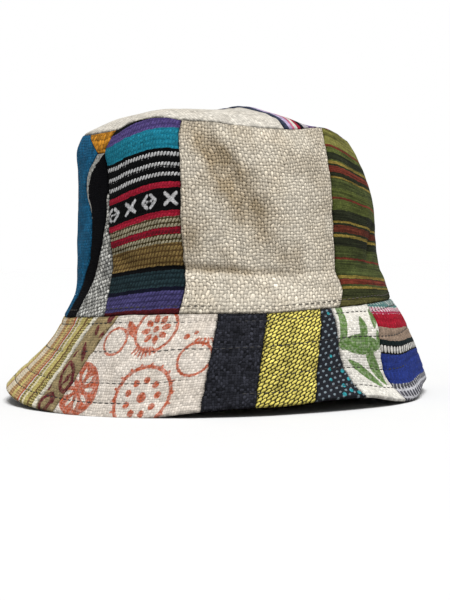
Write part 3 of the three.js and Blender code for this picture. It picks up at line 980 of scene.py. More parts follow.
@dataclass(frozen=True)
class Cloth:
    """One kind of cloth and how to make its material."""

    name: str
    weave: Weave
    ground: Colour = WHITENESS
    yarn: Colour | None = None
    floats: Floats | None = None
    bands: tuple[Band, ...] = ()
    ink: Colour | None = None
    roughness: float = 0.92
    roughness_range: float = 0.06
    sheen: float = 0.01
    sheen_roughness: float = 0.55
    specular: float = 0.04
    cloud: float = 0.22
    # How much the cloth darkens at its seams: painted shade of the seam grooves, and soil.
    seam_shade_and_soil: float = 0.45
    # How much the cloth browns: in random stains, and in folds and above the hemp's crease, where it is
    # partly or wholly painted shade.
    stain_and_shade: float = 0.5
    streak: float = 0.0
    faded: float = 0.38

    def material(self, groups: Groups) -> bpy.types.Material:
        """Make the cloth's material.

        Args:
            groups: The shared node groups.

        Returns:
            The material.
        """
        made, nodes, shader = new_material(self.name)
        cloth, kind = nodes.cloth_map(), self.weave
        weave = nodes.group(
            groups.weave, cloth, Warp=kind.warp, Weft=kind.weft, Wander=kind.wander, Round=kind.round
        )
        wear_and_shade = nodes.group(
            groups.wear_and_shade, cloth,
            Seam=nodes.attribute(SEAM), Hollow=nodes.attribute(HOLLOW), Soil=self.seam_shade_and_soil, Cloud=self.cloud,
        )
        colour, height = self._colour(nodes, groups, cloth, weave["Height"] * kind.relief)
        # Painted shade darkens the holes between yarns, more where the cloth is browned; then stains and
        # painted shade brown the cloth.
        pit_shade = weave["Pits"] * (weave["Crossing"] * 0.7 + 0.5) * (wear_and_shade["Stain"] * 0.9 + 0.8)
        for share, tint in ((pit_shade * kind.pits, kind.pit), (wear_and_shade["Stain"] * self.stain_and_shade, STAIN_AND_SHADE)):
            colour = nodes.mix(1.0, colour, nodes.mix(share, WHITENESS, tint), "MULTIPLY")
        shade = wear_and_shade["Shade"]
        # Yarn and Crossing vary the tone at random; Over paints the warp yarns on top lighter than the weft
        # yarns, which is painted light and shade.
        strengths = {"Yarn": kind.uneven, "Crossing": kind.mottle, "Over": kind.checker}
        parts = [(weave[name], strength) for name, strength in strengths.items()]
        if self.streak:
            parts.append((self._streaks(nodes, cloth), self.streak))
        for value, strength in parts:
            shade = shade * ((value - 0.5) * strength + 1.0)
        grey = nodes.wire("ShaderNodeCombineColor", (shade, shade, shade))
        nodes.feed(shader.inputs["Base Color"], nodes.mix(1.0, colour, grey, "MULTIPLY"))
        limits = (self.roughness - self.roughness_range, min(self.roughness + self.roughness_range, 1.0))
        nodes.feed(shader.inputs["Roughness"], nodes.between(weave["Yarn"], 0.0, 1.0, limits))
        shader.inputs["Sheen Weight"].default_value = self.sheen
        shader.inputs["Sheen Roughness"].default_value = self.sheen_roughness
        shader.inputs["Specular IOR Level"].default_value = self.specular
        nodes.bump(shader, wear_and_shade["Fuzz"] * kind.fuzz + height, MM)
        return made

    @staticmethod
    def _streaks(nodes: Nodes, cloth: Wire) -> Wire:
        """Vary the cloth in long thin streaks that follow its stripes.

        Args:
            nodes: The material's nodes.
            cloth: The cloth map.

        Returns:
            The streaks, from 0 to 1.
        """
        x, _ = nodes.split(cloth)
        place = nodes.wire("ShaderNodeCombineXYZ", (x * 0.03, nodes.attribute(BAND) * 0.9))
        return nodes.between(nodes.noise(place, 1.0, 3.0), 0.25, 0.75)

    def _colour(self, nodes: Nodes, groups: Groups, cloth: Wire, height: Wire) -> tuple[Value, Wire]:
        """Put the stripes, short yarns and figures together.

        Args:
            nodes: The material's nodes.
            groups: The shared node groups.
            cloth: The cloth map.
            height: The weave's relief.

        Returns:
            The colour before shading, and the relief with the short yarns on it.
        """
        colour: Value = self.ground
        yarn: Value = self.yarn
        if self.bands:
            across = (nodes.noise(cloth, 0.3, 4.0) - 0.5) * 1.3 + nodes.attribute(BAND)
            colour = nodes.bands(across, [(band.width, band.ground) for band in self.bands])
            if self.floats:
                yarn = nodes.bands(across, [(band.width, band.yarn or band.ground) for band in self.bands])
        if self.floats:
            kind, laid = self.floats, cloth
            if kind.from_band is not None:
                x, _ = nodes.split(cloth)
                laid = nodes.wire("ShaderNodeCombineXYZ", (x, kind.from_band - nodes.attribute(BAND)))
            floats = nodes.group(
                groups.floats, laid, Length=kind.length, Row=kind.row, Step=kind.step,
                Cover=kind.cover, Lean=kind.lean, Slant=kind.slant,
            )
            colour = nodes.mix(floats["Mask"], colour, yarn)
            height = nodes.math("MAXIMUM", height * 0.6, floats["Height"] * kind.relief)
        if self.ink is not None:
            edge = (nodes.noise(cloth, 0.9, 3.0) - 0.5) * 1.1 + nodes.attribute(INK)
            density = nodes.between(nodes.noise(cloth, 0.5, 4.0), 0.3, 0.62, (1.0 - self.faded, 1.0))
            colour = nodes.mix(nodes.between(edge, -0.25, 0.25, (1.0, 0.0)) * density, colour, self.ink)
        return colour, height


def stripes(*rows: tuple) -> tuple[Band, ...]:
    """Turn rows of a width, a ground colour and perhaps a yarn colour into bands."""
    return tuple(Band(*row) for row in rows)


BLACK, WHITE, DASH = paint(8, 8, 10), paint(225, 222, 214), paint(205, 205, 205)
RED, BRIGHT_RED, TEAL = paint(158, 24, 46), paint(178, 36, 60), paint(26, 124, 150)
LEAF_GREEN, MOSS, DUSK = paint(84, 92, 44), paint(72, 80, 42), paint(40, 44, 28)
GOLD, BRICK, SPECK = paint(138, 120, 56), paint(116, 52, 38), paint(168, 160, 134)
SAND, STRAW = paint(230, 216, 188), paint(212, 196, 124)
WOVEN_STRIPES = stripes(
    (1.5, BLACK), (5.4, paint(74, 62, 116), paint(94, 80, 138)), (10.1, TEAL, paint(38, 138, 162)),
    (1.5, BLACK), (2.6, BLACK, DASH), (2.6, BLACK), (2.6, BLACK, DASH), (2.6, BLACK), (2.6, BLACK, DASH),
    (2.4, BLACK), (3.3, RED, BRIGHT_RED), (11.3, BLACK), (3.0, RED, BRIGHT_RED),
    (5.1, paint(70, 58, 34), SPECK), (3.5, RED, paint(112, 26, 40)), (3.9, paint(62, 52, 26), SPECK),
    (10.5, paint(92, 70, 40), paint(144, 120, 72)), (2.1, BLACK),
    (8.2, paint(24, 38, 43), paint(38, 57, 62)), (1.9, paint(16, 18, 36)),
    (8.2, paint(54, 50, 88), paint(76, 71, 120)), (2.5, paint(92, 30, 36)),
)
GREEN_STRIPES = stripes(
    (9.2, paint(124, 122, 64)), (1.6, BRICK), (3.0, LEAF_GREEN), (4.2, DUSK), (1.0, LEAF_GREEN),
    (1.4, GOLD), (1.3, DUSK), (3.4, BRICK), (2.2, DUSK), (1.4, GOLD), (5.2, MOSS), (4.8, LEAF_GREEN),
    (1.1, BRICK), (5.8, LEAF_GREEN), (5.8, DUSK), (1.4, GOLD), (0.9, DUSK), (3.8, paint(98, 48, 34)),
    (1.5, DUSK), (1.4, GOLD), (4.8, DUSK), (6.0, MOSS), (1.1, BRICK), (5.6, MOSS), (3.2, MOSS), (1.3, GOLD),
    (0.6, DUSK), (2.5, BRICK), (1.4, MOSS), (1.2, GOLD), (4.8, paint(56, 60, 34)), (6.5, paint(98, 94, 52)),
)
BRIGHT_STRIPES = stripes(
    (1.6, paint(90, 130, 128), WHITE), (4.2, paint(172, 48, 78), paint(222, 192, 200)),
    (8.6, paint(162, 18, 42), paint(176, 28, 50)), (6.9, paint(160, 138, 120)), (2.3, paint(18, 34, 34)),
    (4.6, BLACK, WHITE), (14.9, paint(42, 60, 136)), (14.0, paint(206, 206, 212), paint(88, 88, 96)),
)
OLIVE_STRIPES = stripes(
    (3.2, paint(240, 234, 214)), (4.6, STRAW, paint(104, 92, 50)), (2.0, paint(126, 98, 62)),
    (4.4, paint(202, 188, 116)), (2.6, paint(232, 222, 188)), (3.2, STRAW, paint(100, 88, 54)),
    (1.3, WHITE), (1.6, paint(190, 92, 62)), (5.6, paint(220, 180, 130), paint(156, 124, 84)), (4.0, STRAW),
    (7.0, paint(216, 174, 120), paint(150, 118, 80)), (12.0, SAND), (2.0, paint(170, 84, 60)), (6.0, STRAW),
    (60.0, SAND, STRAW),
)
TOP_STRIPES = stripes(
    (2.6, paint(62, 70, 92)), (2.4, paint(186, 172, 204)), (1.6, paint(206, 110, 140)), (1.8, WHITE),
    (2.0, paint(168, 44, 66)), (2.6, paint(26, 24, 32)), (3.0, paint(196, 190, 196)),
    (6.0, paint(110, 80, 140)), (2.0, WHITE), (5.0, paint(60, 86, 120)), (3.0, paint(176, 70, 90)),
    (6.0, paint(140, 120, 170)), (3.0, paint(26, 24, 32)), (60.0, paint(120, 92, 140)),
)
PLUM_STRIPES = 3 * stripes(
    (12.0, paint(80, 64, 124)), (2.0, paint(30, 30, 52)), (5.0, paint(120, 100, 160)),
    (1.5, paint(190, 180, 200)), (6.0, paint(60, 50, 104)), (2.0, paint(150, 60, 90)),
    (5.0, paint(96, 80, 142)),
)
FINE = Weave(warp=1.25, weft=1.25, relief=0.2, wander=0.12, pits=0.4, uneven=0.3)
STRIPED = Weave(warp=1.7, weft=1.0, relief=0.22, wander=0.14, pits=0.35, uneven=0.3)
CLOTHS = (
    Cloth(
        "hemp", ground=paint(241, 231, 212), cloud=0.45, stain_and_shade=1.0,
        weave=Weave(
            warp=1.75, weft=1.8, relief=0.75, wander=0.42, pits=0.9, uneven=0.28, fuzz=0.26, round=0.6,
            mottle=0.24, checker=0.36, pit=(0.1, 0.07, 0.04),
        ),
    ),
    Cloth(
        "blue_cotton", ground=paint(26, 104, 146), cloud=0.7,
        weave=Weave(
            warp=1.7, weft=1.5, relief=0.4, wander=0.22, pits=0.75, uneven=0.5, fuzz=0.15,
            mottle=0.5, checker=0.3,
        ),
    ),
    Cloth("black_cotton", FINE, ground=paint(10, 10, 14), ink=paint(205, 205, 198), sheen=0.0, faded=0.55),
    Cloth(
        "grey_fleck", ground=paint(112, 112, 110), yarn=paint(212, 212, 206), cloud=0.9,
        weave=Weave(
            warp=1.8, weft=1.7, relief=0.38, wander=0.4, pits=0.7, uneven=0.7, fuzz=0.2,
            mottle=1.0, checker=0.3,
        ),
        floats=Floats(length=2.4, row=2.0, step=1.0, cover=0.86, lean=0.2, relief=0.5),
    ),
    Cloth(
        "ochre", ground=paint(206, 140, 42),
        weave=Weave(
            warp=2.9, weft=2.8, relief=0.8, wander=0.35, pits=1.0, uneven=0.7, fuzz=0.14,
            round=0.5, mottle=0.7,
        ),
    ),
    Cloth(
        "banded", STRIPED, bands=WOVEN_STRIPES, ink=paint(220, 220, 222),
        floats=Floats(
            length=2.0, row=2.6, step=0.9, cover=0.82, lean=0.0, relief=0.34,
            slant=1.5, from_band=18.5,
        ),
    ),
    Cloth(
        "green_stripe", bands=GREEN_STRIPES, cloud=0.7, streak=1.1,
        weave=Weave(warp=1.3, weft=1.0, relief=0.15, wander=0.12, pits=0.3, uneven=0.35),
    ),
    Cloth(
        "charcoal", ground=paint(44, 45, 52), cloud=0.5,
        weave=Weave(
            warp=1.5, weft=1.45, relief=0.36, wander=0.4, pits=0.8, uneven=0.8, fuzz=0.2,
            mottle=1.2, checker=0.45,
        ),
    ),
    Cloth("plum_stripe", STRIPED, bands=PLUM_STRIPES),
    Cloth(
        "olive_stripe", bands=OLIVE_STRIPES,
        weave=Weave(warp=1.4, weft=1.4, relief=0.25, wander=0.15, pits=0.35, uneven=0.3),
        floats=Floats(length=1.7, row=1.5, step=0.85, cover=0.8, lean=0.0, relief=0.3),
    ),
    Cloth(
        "maroon_figure", ground=paint(162, 144, 106), ink=paint(104, 34, 46), cloud=0.9,
        weave=Weave(warp=1.4, weft=1.4, relief=0.3, wander=0.2, pits=0.45, uneven=0.5),
    ),
    Cloth(
        "rust_print", ground=paint(235, 225, 213), ink=paint(194, 94, 62), stain_and_shade=0.7,
        weave=Weave(warp=1.45, weft=1.4, relief=0.34, wander=0.25, pits=0.4, uneven=0.3),
    ),
    Cloth(
        "yellow_float", ground=paint(50, 46, 30), yarn=paint(246, 230, 118), cloud=1.1,
        weave=Weave(warp=1.6, weft=1.3, relief=0.3, wander=0.2, pits=0.3, uneven=0.3),
        floats=Floats(length=3.4, row=1.9, step=-1.25, cover=0.88, lean=0.55, relief=0.8),
    ),
    Cloth(
        "dotted", FINE, ground=paint(40, 42, 48), yarn=paint(132, 146, 154), ink=paint(60, 168, 178),
        floats=Floats(length=3.6, row=3.0, step=1.4, cover=0.44, lean=0.25, relief=0.25),
    ),
    Cloth(
        "leaf_print", ground=paint(244, 240, 230), ink=paint(98, 134, 66), faded=0.25,
        weave=Weave(warp=1.4, weft=1.35, relief=0.3, wander=0.25, pits=0.35, uneven=0.3),
    ),
    Cloth(
        "bright_stripe", STRIPED, bands=BRIGHT_STRIPES,
        floats=Floats(
            length=3.2, row=4.6, step=1.5, cover=0.8, lean=0.0, relief=0.4,
            slant=1.2, from_band=28.2,
        ),
    ),
    Cloth(
        "cream", ground=paint(226, 220, 208), cloud=0.4, stain_and_shade=0.55,
        weave=Weave(warp=1.5, weft=1.5, relief=0.3, wander=0.3, pits=0.4, uneven=0.3),
    ),
    Cloth("top_stripe", FINE, bands=TOP_STRIPES),
)


# Patches


@dataclass
class Cut:
    """One patch laid on the form, as arrays of rows and columns."""

    outside: Array  # points of the outer face
    normal: Array  # outward directions there
    cloth: Array  # places on the cloth, in millimetres
    seam: Array  # distances to the nearest edge
    angle: Array
    place: Array  # rises, drops, or shares of the way to the rim of the top
    hollow: Array  # how far the folds press the cloth in, with the painted shade above the hemp's crease added


class Figure(Enum):
    """The figures printed or woven into a patch."""

    NONE = "none"
    MOTIF_ROW = "motif row"
    SUNS = "suns"
    LEAVES = "leaves"
    DOTS = "dots"
    SCROLLS = "scrolls"
    SELVEDGE = "selvedge"


def add_to_scene(name: str, mesh: bpy.types.Mesh, material: bpy.types.Material) -> bpy.types.Object:
    """Make a smooth-shaded piece of a mesh, on the hat's one body.

    Args:
        name: The piece's name.
        mesh: Its mesh.
        material: Its material.

    Returns:
        The piece.
    """
    mesh.polygons.foreach_set("use_smooth", [True] * len(mesh.polygons))
    mesh.materials.append(material)
    piece = bpy.data.objects.new(name, mesh)
    bpy.context.scene.collection.objects.link(piece)
    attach(piece, "root")
    log.info("%s: %d faces", name, len(mesh.polygons))
    return piece


@dataclass
class PatchMaker:
    """Turns cut patches into closed walls of cloth with rolled edges."""

    materials: dict[str, bpy.types.Material]
    slots: dict[str, str]
    roll: float = 1.15
    # height, hill size and seed of the rumples, which run on from patch to patch
    rumples: Sequence[tuple[float, float, int]] = ((0.75, 24.0, 7), (0.3, 11.0, 8))
    crumple: float = 0.16
    crumple_size: float = 5.0
    pucker: float = 0.32
    pucker_size: float = 7.0
    pucker_reach: float = 7.0
    inner_share: float = 0.7
    open_edge_round: float = 0.46
    merge: float = 2e-6

    def wall(
        self, name: str, cut: Cut, thickness: float, cloth: str, band: Array, ink: Array | float,
        groove: Array | float = 0.0, open_edge: Array | None = None, flip: bool = False,
    ) -> bpy.types.Object:
        """Make one patch.

        Args:
            name: The name of the CAD node that the patch stands for.
            cut: The patch laid on the form.
            thickness: The cloth's thickness.
            cloth: The name of its cloth.
            band: The place across its stripes.
            ink: The distance to the edge of its figures.
            groove: How far sewing presses it in.
            open_edge: The distance to a free edge, which is rounded on both sides.
            flip: Whether the rows run so that the outer faces must be turned round.

        Returns:
            The patch.
        """
        outside, inside = self._faces(name, cut, thickness, groove, open_edge)
        mesh = self._shell(name, outside, inside, cut.cloth, flip)
        for label, values in ((BAND, band), (INK, ink), (SEAM, cut.seam), (HOLLOW, cut.hollow)):
            flat = np.broadcast_to(values, cut.seam.shape).ravel()
            attribute = mesh.attributes.new(label, "FLOAT", "POINT")
            attribute.data.foreach_set("value", np.concatenate([flat, flat]).astype(np.float32))
        self._close(mesh)
        piece = add_to_scene(name + "_cloth", mesh, self.materials[cloth])
        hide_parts(name)
        return piece

    def _faces(
        self, name: str, cut: Cut, thickness: float, groove: Array | float, open_edge: Array | None
    ) -> tuple[Array, Array]:
        """Crease, pucker and round a patch.

        Args:
            name: The patch's name, whose letters start the random numbers.
            cut: The patch laid on the form.
            thickness: The cloth's thickness.
            groove: How far sewing presses it in.
            open_edge: The distance to a free edge.

        Returns:
            The points of its outer and of its inner face, none of them below the floor.
        """
        seed = sum(ord(letter) for letter in name)
        x, y, z = (cut.outside[..., axis] for axis in range(3))
        spread = stack(x + 0.2 * z, z + 0.8 * y)
        creases = self.crumple * cloth_noise(cut.cloth, self.crumple_size, seed + 1)
        near = np.exp(-cut.seam / self.pucker_reach)
        creases = creases + self.pucker * near * cloth_noise(cut.cloth, self.pucker_size, seed + 2)
        for height, size, start in self.rumples:
            creases = creases + height * cloth_noise(spread, size, start)
        lift = creases - round_off(self.roll - cut.seam, self.roll) - groove
        back = creases * self.inner_share - thickness
        if open_edge is not None:
            radius = thickness * self.open_edge_round
            back = back + round_off(radius - open_edge, radius)
        faces = [cut.outside + cut.normal * push[..., None] for push in (lift, back)]
        for points in faces:
            points[..., 2] = np.maximum(points[..., 2], 0)
        return faces[0], faces[1]

    @staticmethod
    def _shell(name: str, outside: Array, inside: Array, cloth: Array, flip: bool) -> bpy.types.Mesh:
        """Join two grids of points into one closed wall with the cloth's UV map.

        Args:
            name: The mesh's name.
            outside: The points of the outer face, in rows and columns.
            inside: Those of the inner face.
            cloth: The place of each of them on the cloth.
            flip: Whether to turn the faces round.

        Returns:
            The wall's mesh.
        """
        rows, columns = outside.shape[:2]
        index = np.arange(rows * columns).reshape(rows, columns)
        other = index + rows * columns
        loops = (
            (index[:-1, :-1], index[:-1, 1:], index[1:, 1:], index[1:, :-1]),
            (other[:-1, :-1], other[1:, :-1], other[1:, 1:], other[:-1, 1:]),
            (index[:-1, 0], index[1:, 0], other[1:, 0], other[:-1, 0]),
            (index[:-1, -1], other[:-1, -1], other[1:, -1], index[1:, -1]),
            (index[0, :-1], other[0, :-1], other[0, 1:], index[0, 1:]),
            (index[-1, :-1], index[-1, 1:], other[-1, 1:], other[-1, :-1]),
        )
        faces = np.concatenate([np.stack([corner.ravel() for corner in loop], -1) for loop in loops])
        if flip:
            faces = faces[:, ::-1]
        points = np.concatenate([outside.reshape(-1, 3), inside.reshape(-1, 3)]) * MM
        mesh = bpy.data.meshes.new(name + "_cloth")
        mesh.from_pydata(points.tolist(), [], faces.tolist())
        flat = cloth.reshape(-1, 2)
        places = np.concatenate([flat, flat])[faces.ravel()]
        mesh.uv_layers.new(name=CLOTH_MAP).data.foreach_set("uv", places.ravel().astype(np.float32))
        return mesh

    def _close(self, mesh: bpy.types.Mesh) -> None:
        """Merge points that lie on each other.

        Args:
            mesh: The mesh to close.
        """
        work = bmesh.new()
        work.from_mesh(mesh)
        bmesh.ops.remove_doubles(work, verts=work.verts, dist=self.merge)
        work.to_mesh(mesh)
        work.free()
        mesh.update()


@dataclass(frozen=True)
class CrownPatch:
    """One patch of the crown's side, between two seams given by their angle at each rise.

    Above a rise of turn_at, the seam named above takes the place of the right one.
    """

    node: str
    cloth: str
    left: Rows
    right: Rows
    low: float = 0.0
    high: float = 1.0
    above: Rows | None = None
    turn_at: float = 1.0
    figure: Figure = Figure.NONE

    def sides(self, rise: Array) -> tuple[Array, Array]:
        """Find the seams.

        Args:
            rise: The rises to find them at.

        Returns:
            The angles of the left and of the right seam there.
        """
        seams = self.left, self.right, self.above or self.right
        left, right, above = (smooth(rows, 1, rise) + wander(rows, rise) for rows in seams)
        return left, np.where(rise > self.turn_at, above, right)


BLUE_LEFT = ((0, -98), (1, -96))
BLUE_BLACK = (
    (0, -75), (0.1, -73), (0.2, -66.2), (0.31, -60.3), (0.42, -58.6), (0.54, -60.2),
    (0.7, -64.7), (0.79, -61.2), (0.88, -52.8),
)
BLUE_OCHRE = ((0.88, -52.8), (0.92, -57.0), (1, -67.5))
BLACK_GREY = ((0, -63.8), (0.1, -61.8), (0.2, -57.2), (0.32, -52.6), (0.46, -49.7), (0.66, -49.1))
GREY_STRIPE = (
    (0, -45.5), (0.12, -47.2), (0.29, -45.6), (0.5, -47.2), (0.68, -47.9), (0.88, -48), (1, -44.8)
)
STRIPE_HEMP = ((0, -16), (0.25, -15.3), (0.6, -15.9), (1, -13.8))
HEMP_GREEN = ((0, 39.6), (0.08, 42.2), (0.17, 41.2), (0.3, 41.8), (0.6, 42.7), (0.85, 45.4), (1, 49))
GREEN_RIGHT = ((0, 97), (1, 99))
RIGHT_BACK = ((0, 138), (1, 136))
BACK_MIDDLE = ((0, 193), (1, 196))
BACK_LEFT = ((0, 232), (1, 230))
LEFT_BLUE = ((0, 262), (1, 264))


@dataclass
class CrownSide:
    """The patches round the crown, from the brim to the seam round the top."""

    form: HatForm
    maker: PatchMaker
    thickness: float = 1.8
    cell: float = 1.0
    # rise, how much the stripes of the banded patch climb across it
    climb: Rows = (
        (0, 0.012), (0.1, 0.02), (0.2, 0.018), (0.3, 0.035), (0.4, 0.05), (0.5, 0.055), (0.6, 0.054),
        (0.7, 0.042), (0.8, 0.032), (0.9, 0.048), (1, 0.052),
    )
    climb_middle: float = -31.5
    climb_span: float = 31.0
    # how much painted shade darkens the hemp above its crease, so that the flared strip below looks more lit,
    # the rise it starts at and its soft edge
    painted_shade_above_crease: float = 0.75
    painted_shade_from: float = 0.18
    painted_shade_edge: float = 0.05
    # rise, width of the pale flecked edge of the black patch
    selvedge: Rows = ((0, 0.0), (0.45, 0.0), (0.58, 2.0), (0.68, 4.2), (0.8, 6.5), (0.9, 8.0), (1, 8.0))
    fleck_depth: float = 2.6
    fleck_size: float = 1.3
    green_fall: float = 0.0011
    green_left: float = 45.0
    # the woven row's height and the middles of its crosses and diamonds along the cloth
    motif_level: float = 54.1
    crosses: tuple[float, ...] = (-29.3, -55.0)
    diamonds: tuple[float, ...] = (-42.4, -67.8, -16.4)
    patches: tuple[CrownPatch, ...] = (
        CrownPatch("crown_patch_blue", "blue_cotton", BLUE_LEFT, BLUE_BLACK, above=BLUE_OCHRE, turn_at=0.88),
        CrownPatch("crown_patch_black", "black_cotton", BLUE_BLACK, BLACK_GREY, high=0.88, above=GREY_STRIPE,
                   turn_at=0.66, figure=Figure.SELVEDGE),
        CrownPatch("crown_patch_grey", "grey_fleck", BLACK_GREY, GREY_STRIPE, high=0.66),
        CrownPatch("crown_patch_ochre", "ochre", BLUE_OCHRE, GREY_STRIPE, low=0.88),
        CrownPatch("crown_patch_stripe", "banded", GREY_STRIPE, STRIPE_HEMP, figure=Figure.MOTIF_ROW),
        CrownPatch("crown_patch_hemp", "hemp", STRIPE_HEMP, HEMP_GREEN),
        CrownPatch("crown_patch_green", "green_stripe", HEMP_GREEN, GREEN_RIGHT),
        CrownPatch("crown_patch_right", "charcoal", GREEN_RIGHT, RIGHT_BACK),
        CrownPatch("crown_patch_back", "hemp", RIGHT_BACK, BACK_MIDDLE),
        CrownPatch("crown_patch_plum", "plum_stripe", BACK_MIDDLE, BACK_LEFT),
        CrownPatch("crown_patch_left", "ochre", BACK_LEFT, LEFT_BLUE),
    )

    def build(self) -> list[bpy.types.Object]:
        """Make every patch of the crown's side."""
        return [self._patch(patch) for patch in self.patches]

    def _patch(self, patch: CrownPatch) -> bpy.types.Object:
        """Cut one patch and make its wall.

        Args:
            patch: Where the patch lies.

        Returns:
            The patch's piece.
        """
        height, radius = self.form.crown_height, self.form.crown_radius
        rows = patch.low + (patch.high - patch.low) * ticks((patch.high - patch.low) * height, self.cell)
        angle, to_left, to_right = between_seams(*patch.sides(rows), np.full(rows.shape, radius), self.cell)
        rise = np.broadcast_to(rows[:, None], angle.shape)
        points = self.form.crown(angle, rise)
        to_low, to_high = (rise - patch.low) * height, (patch.high - rise) * height
        seam = np.minimum.reduce([to_left, to_right, to_low, to_high])
        hollow = self.form.fold_depth(angle, rise)
        # On the hemp, painted shade darkens all the cloth above the crease.
        if patch.cloth == "hemp":
            hollow = hollow + self.painted_shade_above_crease * np.clip((rise - self.painted_shade_from) / self.painted_shade_edge, 0, 1)
        cloth = stack(np.radians(angle) * radius, rise * height)
        cut = Cut(points, self._mitre(angle, rise, points), cloth, seam, angle, rise, hollow)
        level = self._level(patch, angle, rise)
        ink = self._ink(patch, cut, level, to_left)
        return self.maker.wall(patch.node, cut, self.thickness, patch.cloth, (1 - level) * height, ink)

    def _mitre(self, angle: Array, rise: Array, points: Array) -> Array:
        """Give outward directions that turn halfway to those of the cloth beyond near the seams.

        Args:
            angle: The places' angles.
            rise: Their rises.
            points: Their points.

        Returns:
            The directions.
        """
        normal, height = self.form.crown_normal(angle, rise), self.form.crown_height
        top = self.form.tip_normal(points[..., 0], points[..., 1])
        low = self.form.brim_normal(angle, np.zeros_like(rise))
        for distance, beyond in (((1 - rise) * height, top), (rise * height, low)):
            normal = normal + beyond * bell(distance, MITRE_REACH)[..., None]
        return unit(normal)

    def _level(self, patch: CrownPatch, angle: Array, rise: Array) -> Array:
        """Find the place of each point between a patch's own stripes.

        Args:
            patch: The patch.
            angle: The points' angles.
            rise: Their rises.

        Returns:
            The rises at which the stripes would lie if they ran level.
        """
        if patch.cloth == "banded":
            return rise - smooth(self.climb, 1, rise) * (angle - self.climb_middle) / self.climb_span
        if patch.cloth == "green_stripe":
            return rise + self.green_fall * (angle - self.green_left)
        return rise

    def _ink(self, patch: CrownPatch, cut: Cut, level: Array, to_left: Array) -> Array | float:
        """Measure the distance to the figures of a patch.

        Args:
            patch: The patch.
            cut: Its places.
            level: Their rises between its stripes.
            to_left: Their distances to its left seam.

        Returns:
            The distances.
        """
        if patch.figure is Figure.MOTIF_ROW:
            return self._motifs(cut.cloth[..., 0], level * self.form.crown_height - self.motif_level)
        if patch.figure is Figure.SELVEDGE:
            width = smooth(self.selvedge, 1, np.clip(cut.place, 0, 1))
            flecks = np.maximum(cloth_noise(cut.cloth, self.fleck_size, 4), 0)
            return to_left - width + self.fleck_depth * flecks
        return FAR_FROM_INK

    def _motifs(self, along: Array, up: Array) -> Array:
        """Measure the distance to a woven row of crosses and split diamonds.

        Args:
            along: The places' distances along the row.
            up: Their heights above its middle.

        Returns:
            The distances.
        """
        shapes = [np.full(along.shape, FAR_FROM_INK)]
        for middle in self.crosses:
            at = stack(np.abs(along - middle), np.abs(up))
            shapes.append(stroke(at, (0.0, 0.0), (3.2, 2.8), 1.8))
        for middle in self.diamonds:
            at = stack(np.abs(along - middle), np.abs(up))
            shapes.append(stroke(at, (1.1, 3.1), (4.0, 0.3), 1.6))
            shapes.append(stroke(at, (0.6, 0.0), (1.5, 0.0), 1.1))
        return np.minimum.reduce(shapes)


@dataclass(frozen=True)
class BrimPatch:
    """One patch of the brim: its left seam's angle at the crown and at the edge, and the seam's bow."""

    node: str
    cloth: str
    at_crown: float
    at_edge: float
    bow: float = 0.0
    figure: Figure = Figure.NONE
    wander_share: float = 0.7

    def seam(self, drop: Array) -> Array:
        """Give the left seam's angle at some drops."""
        straight = self.at_crown + (self.at_edge - self.at_crown) * drop + self.bow * np.sin(np.pi * drop)
        return straight + self.wander_share * wander(((0.0, self.at_crown),), drop)


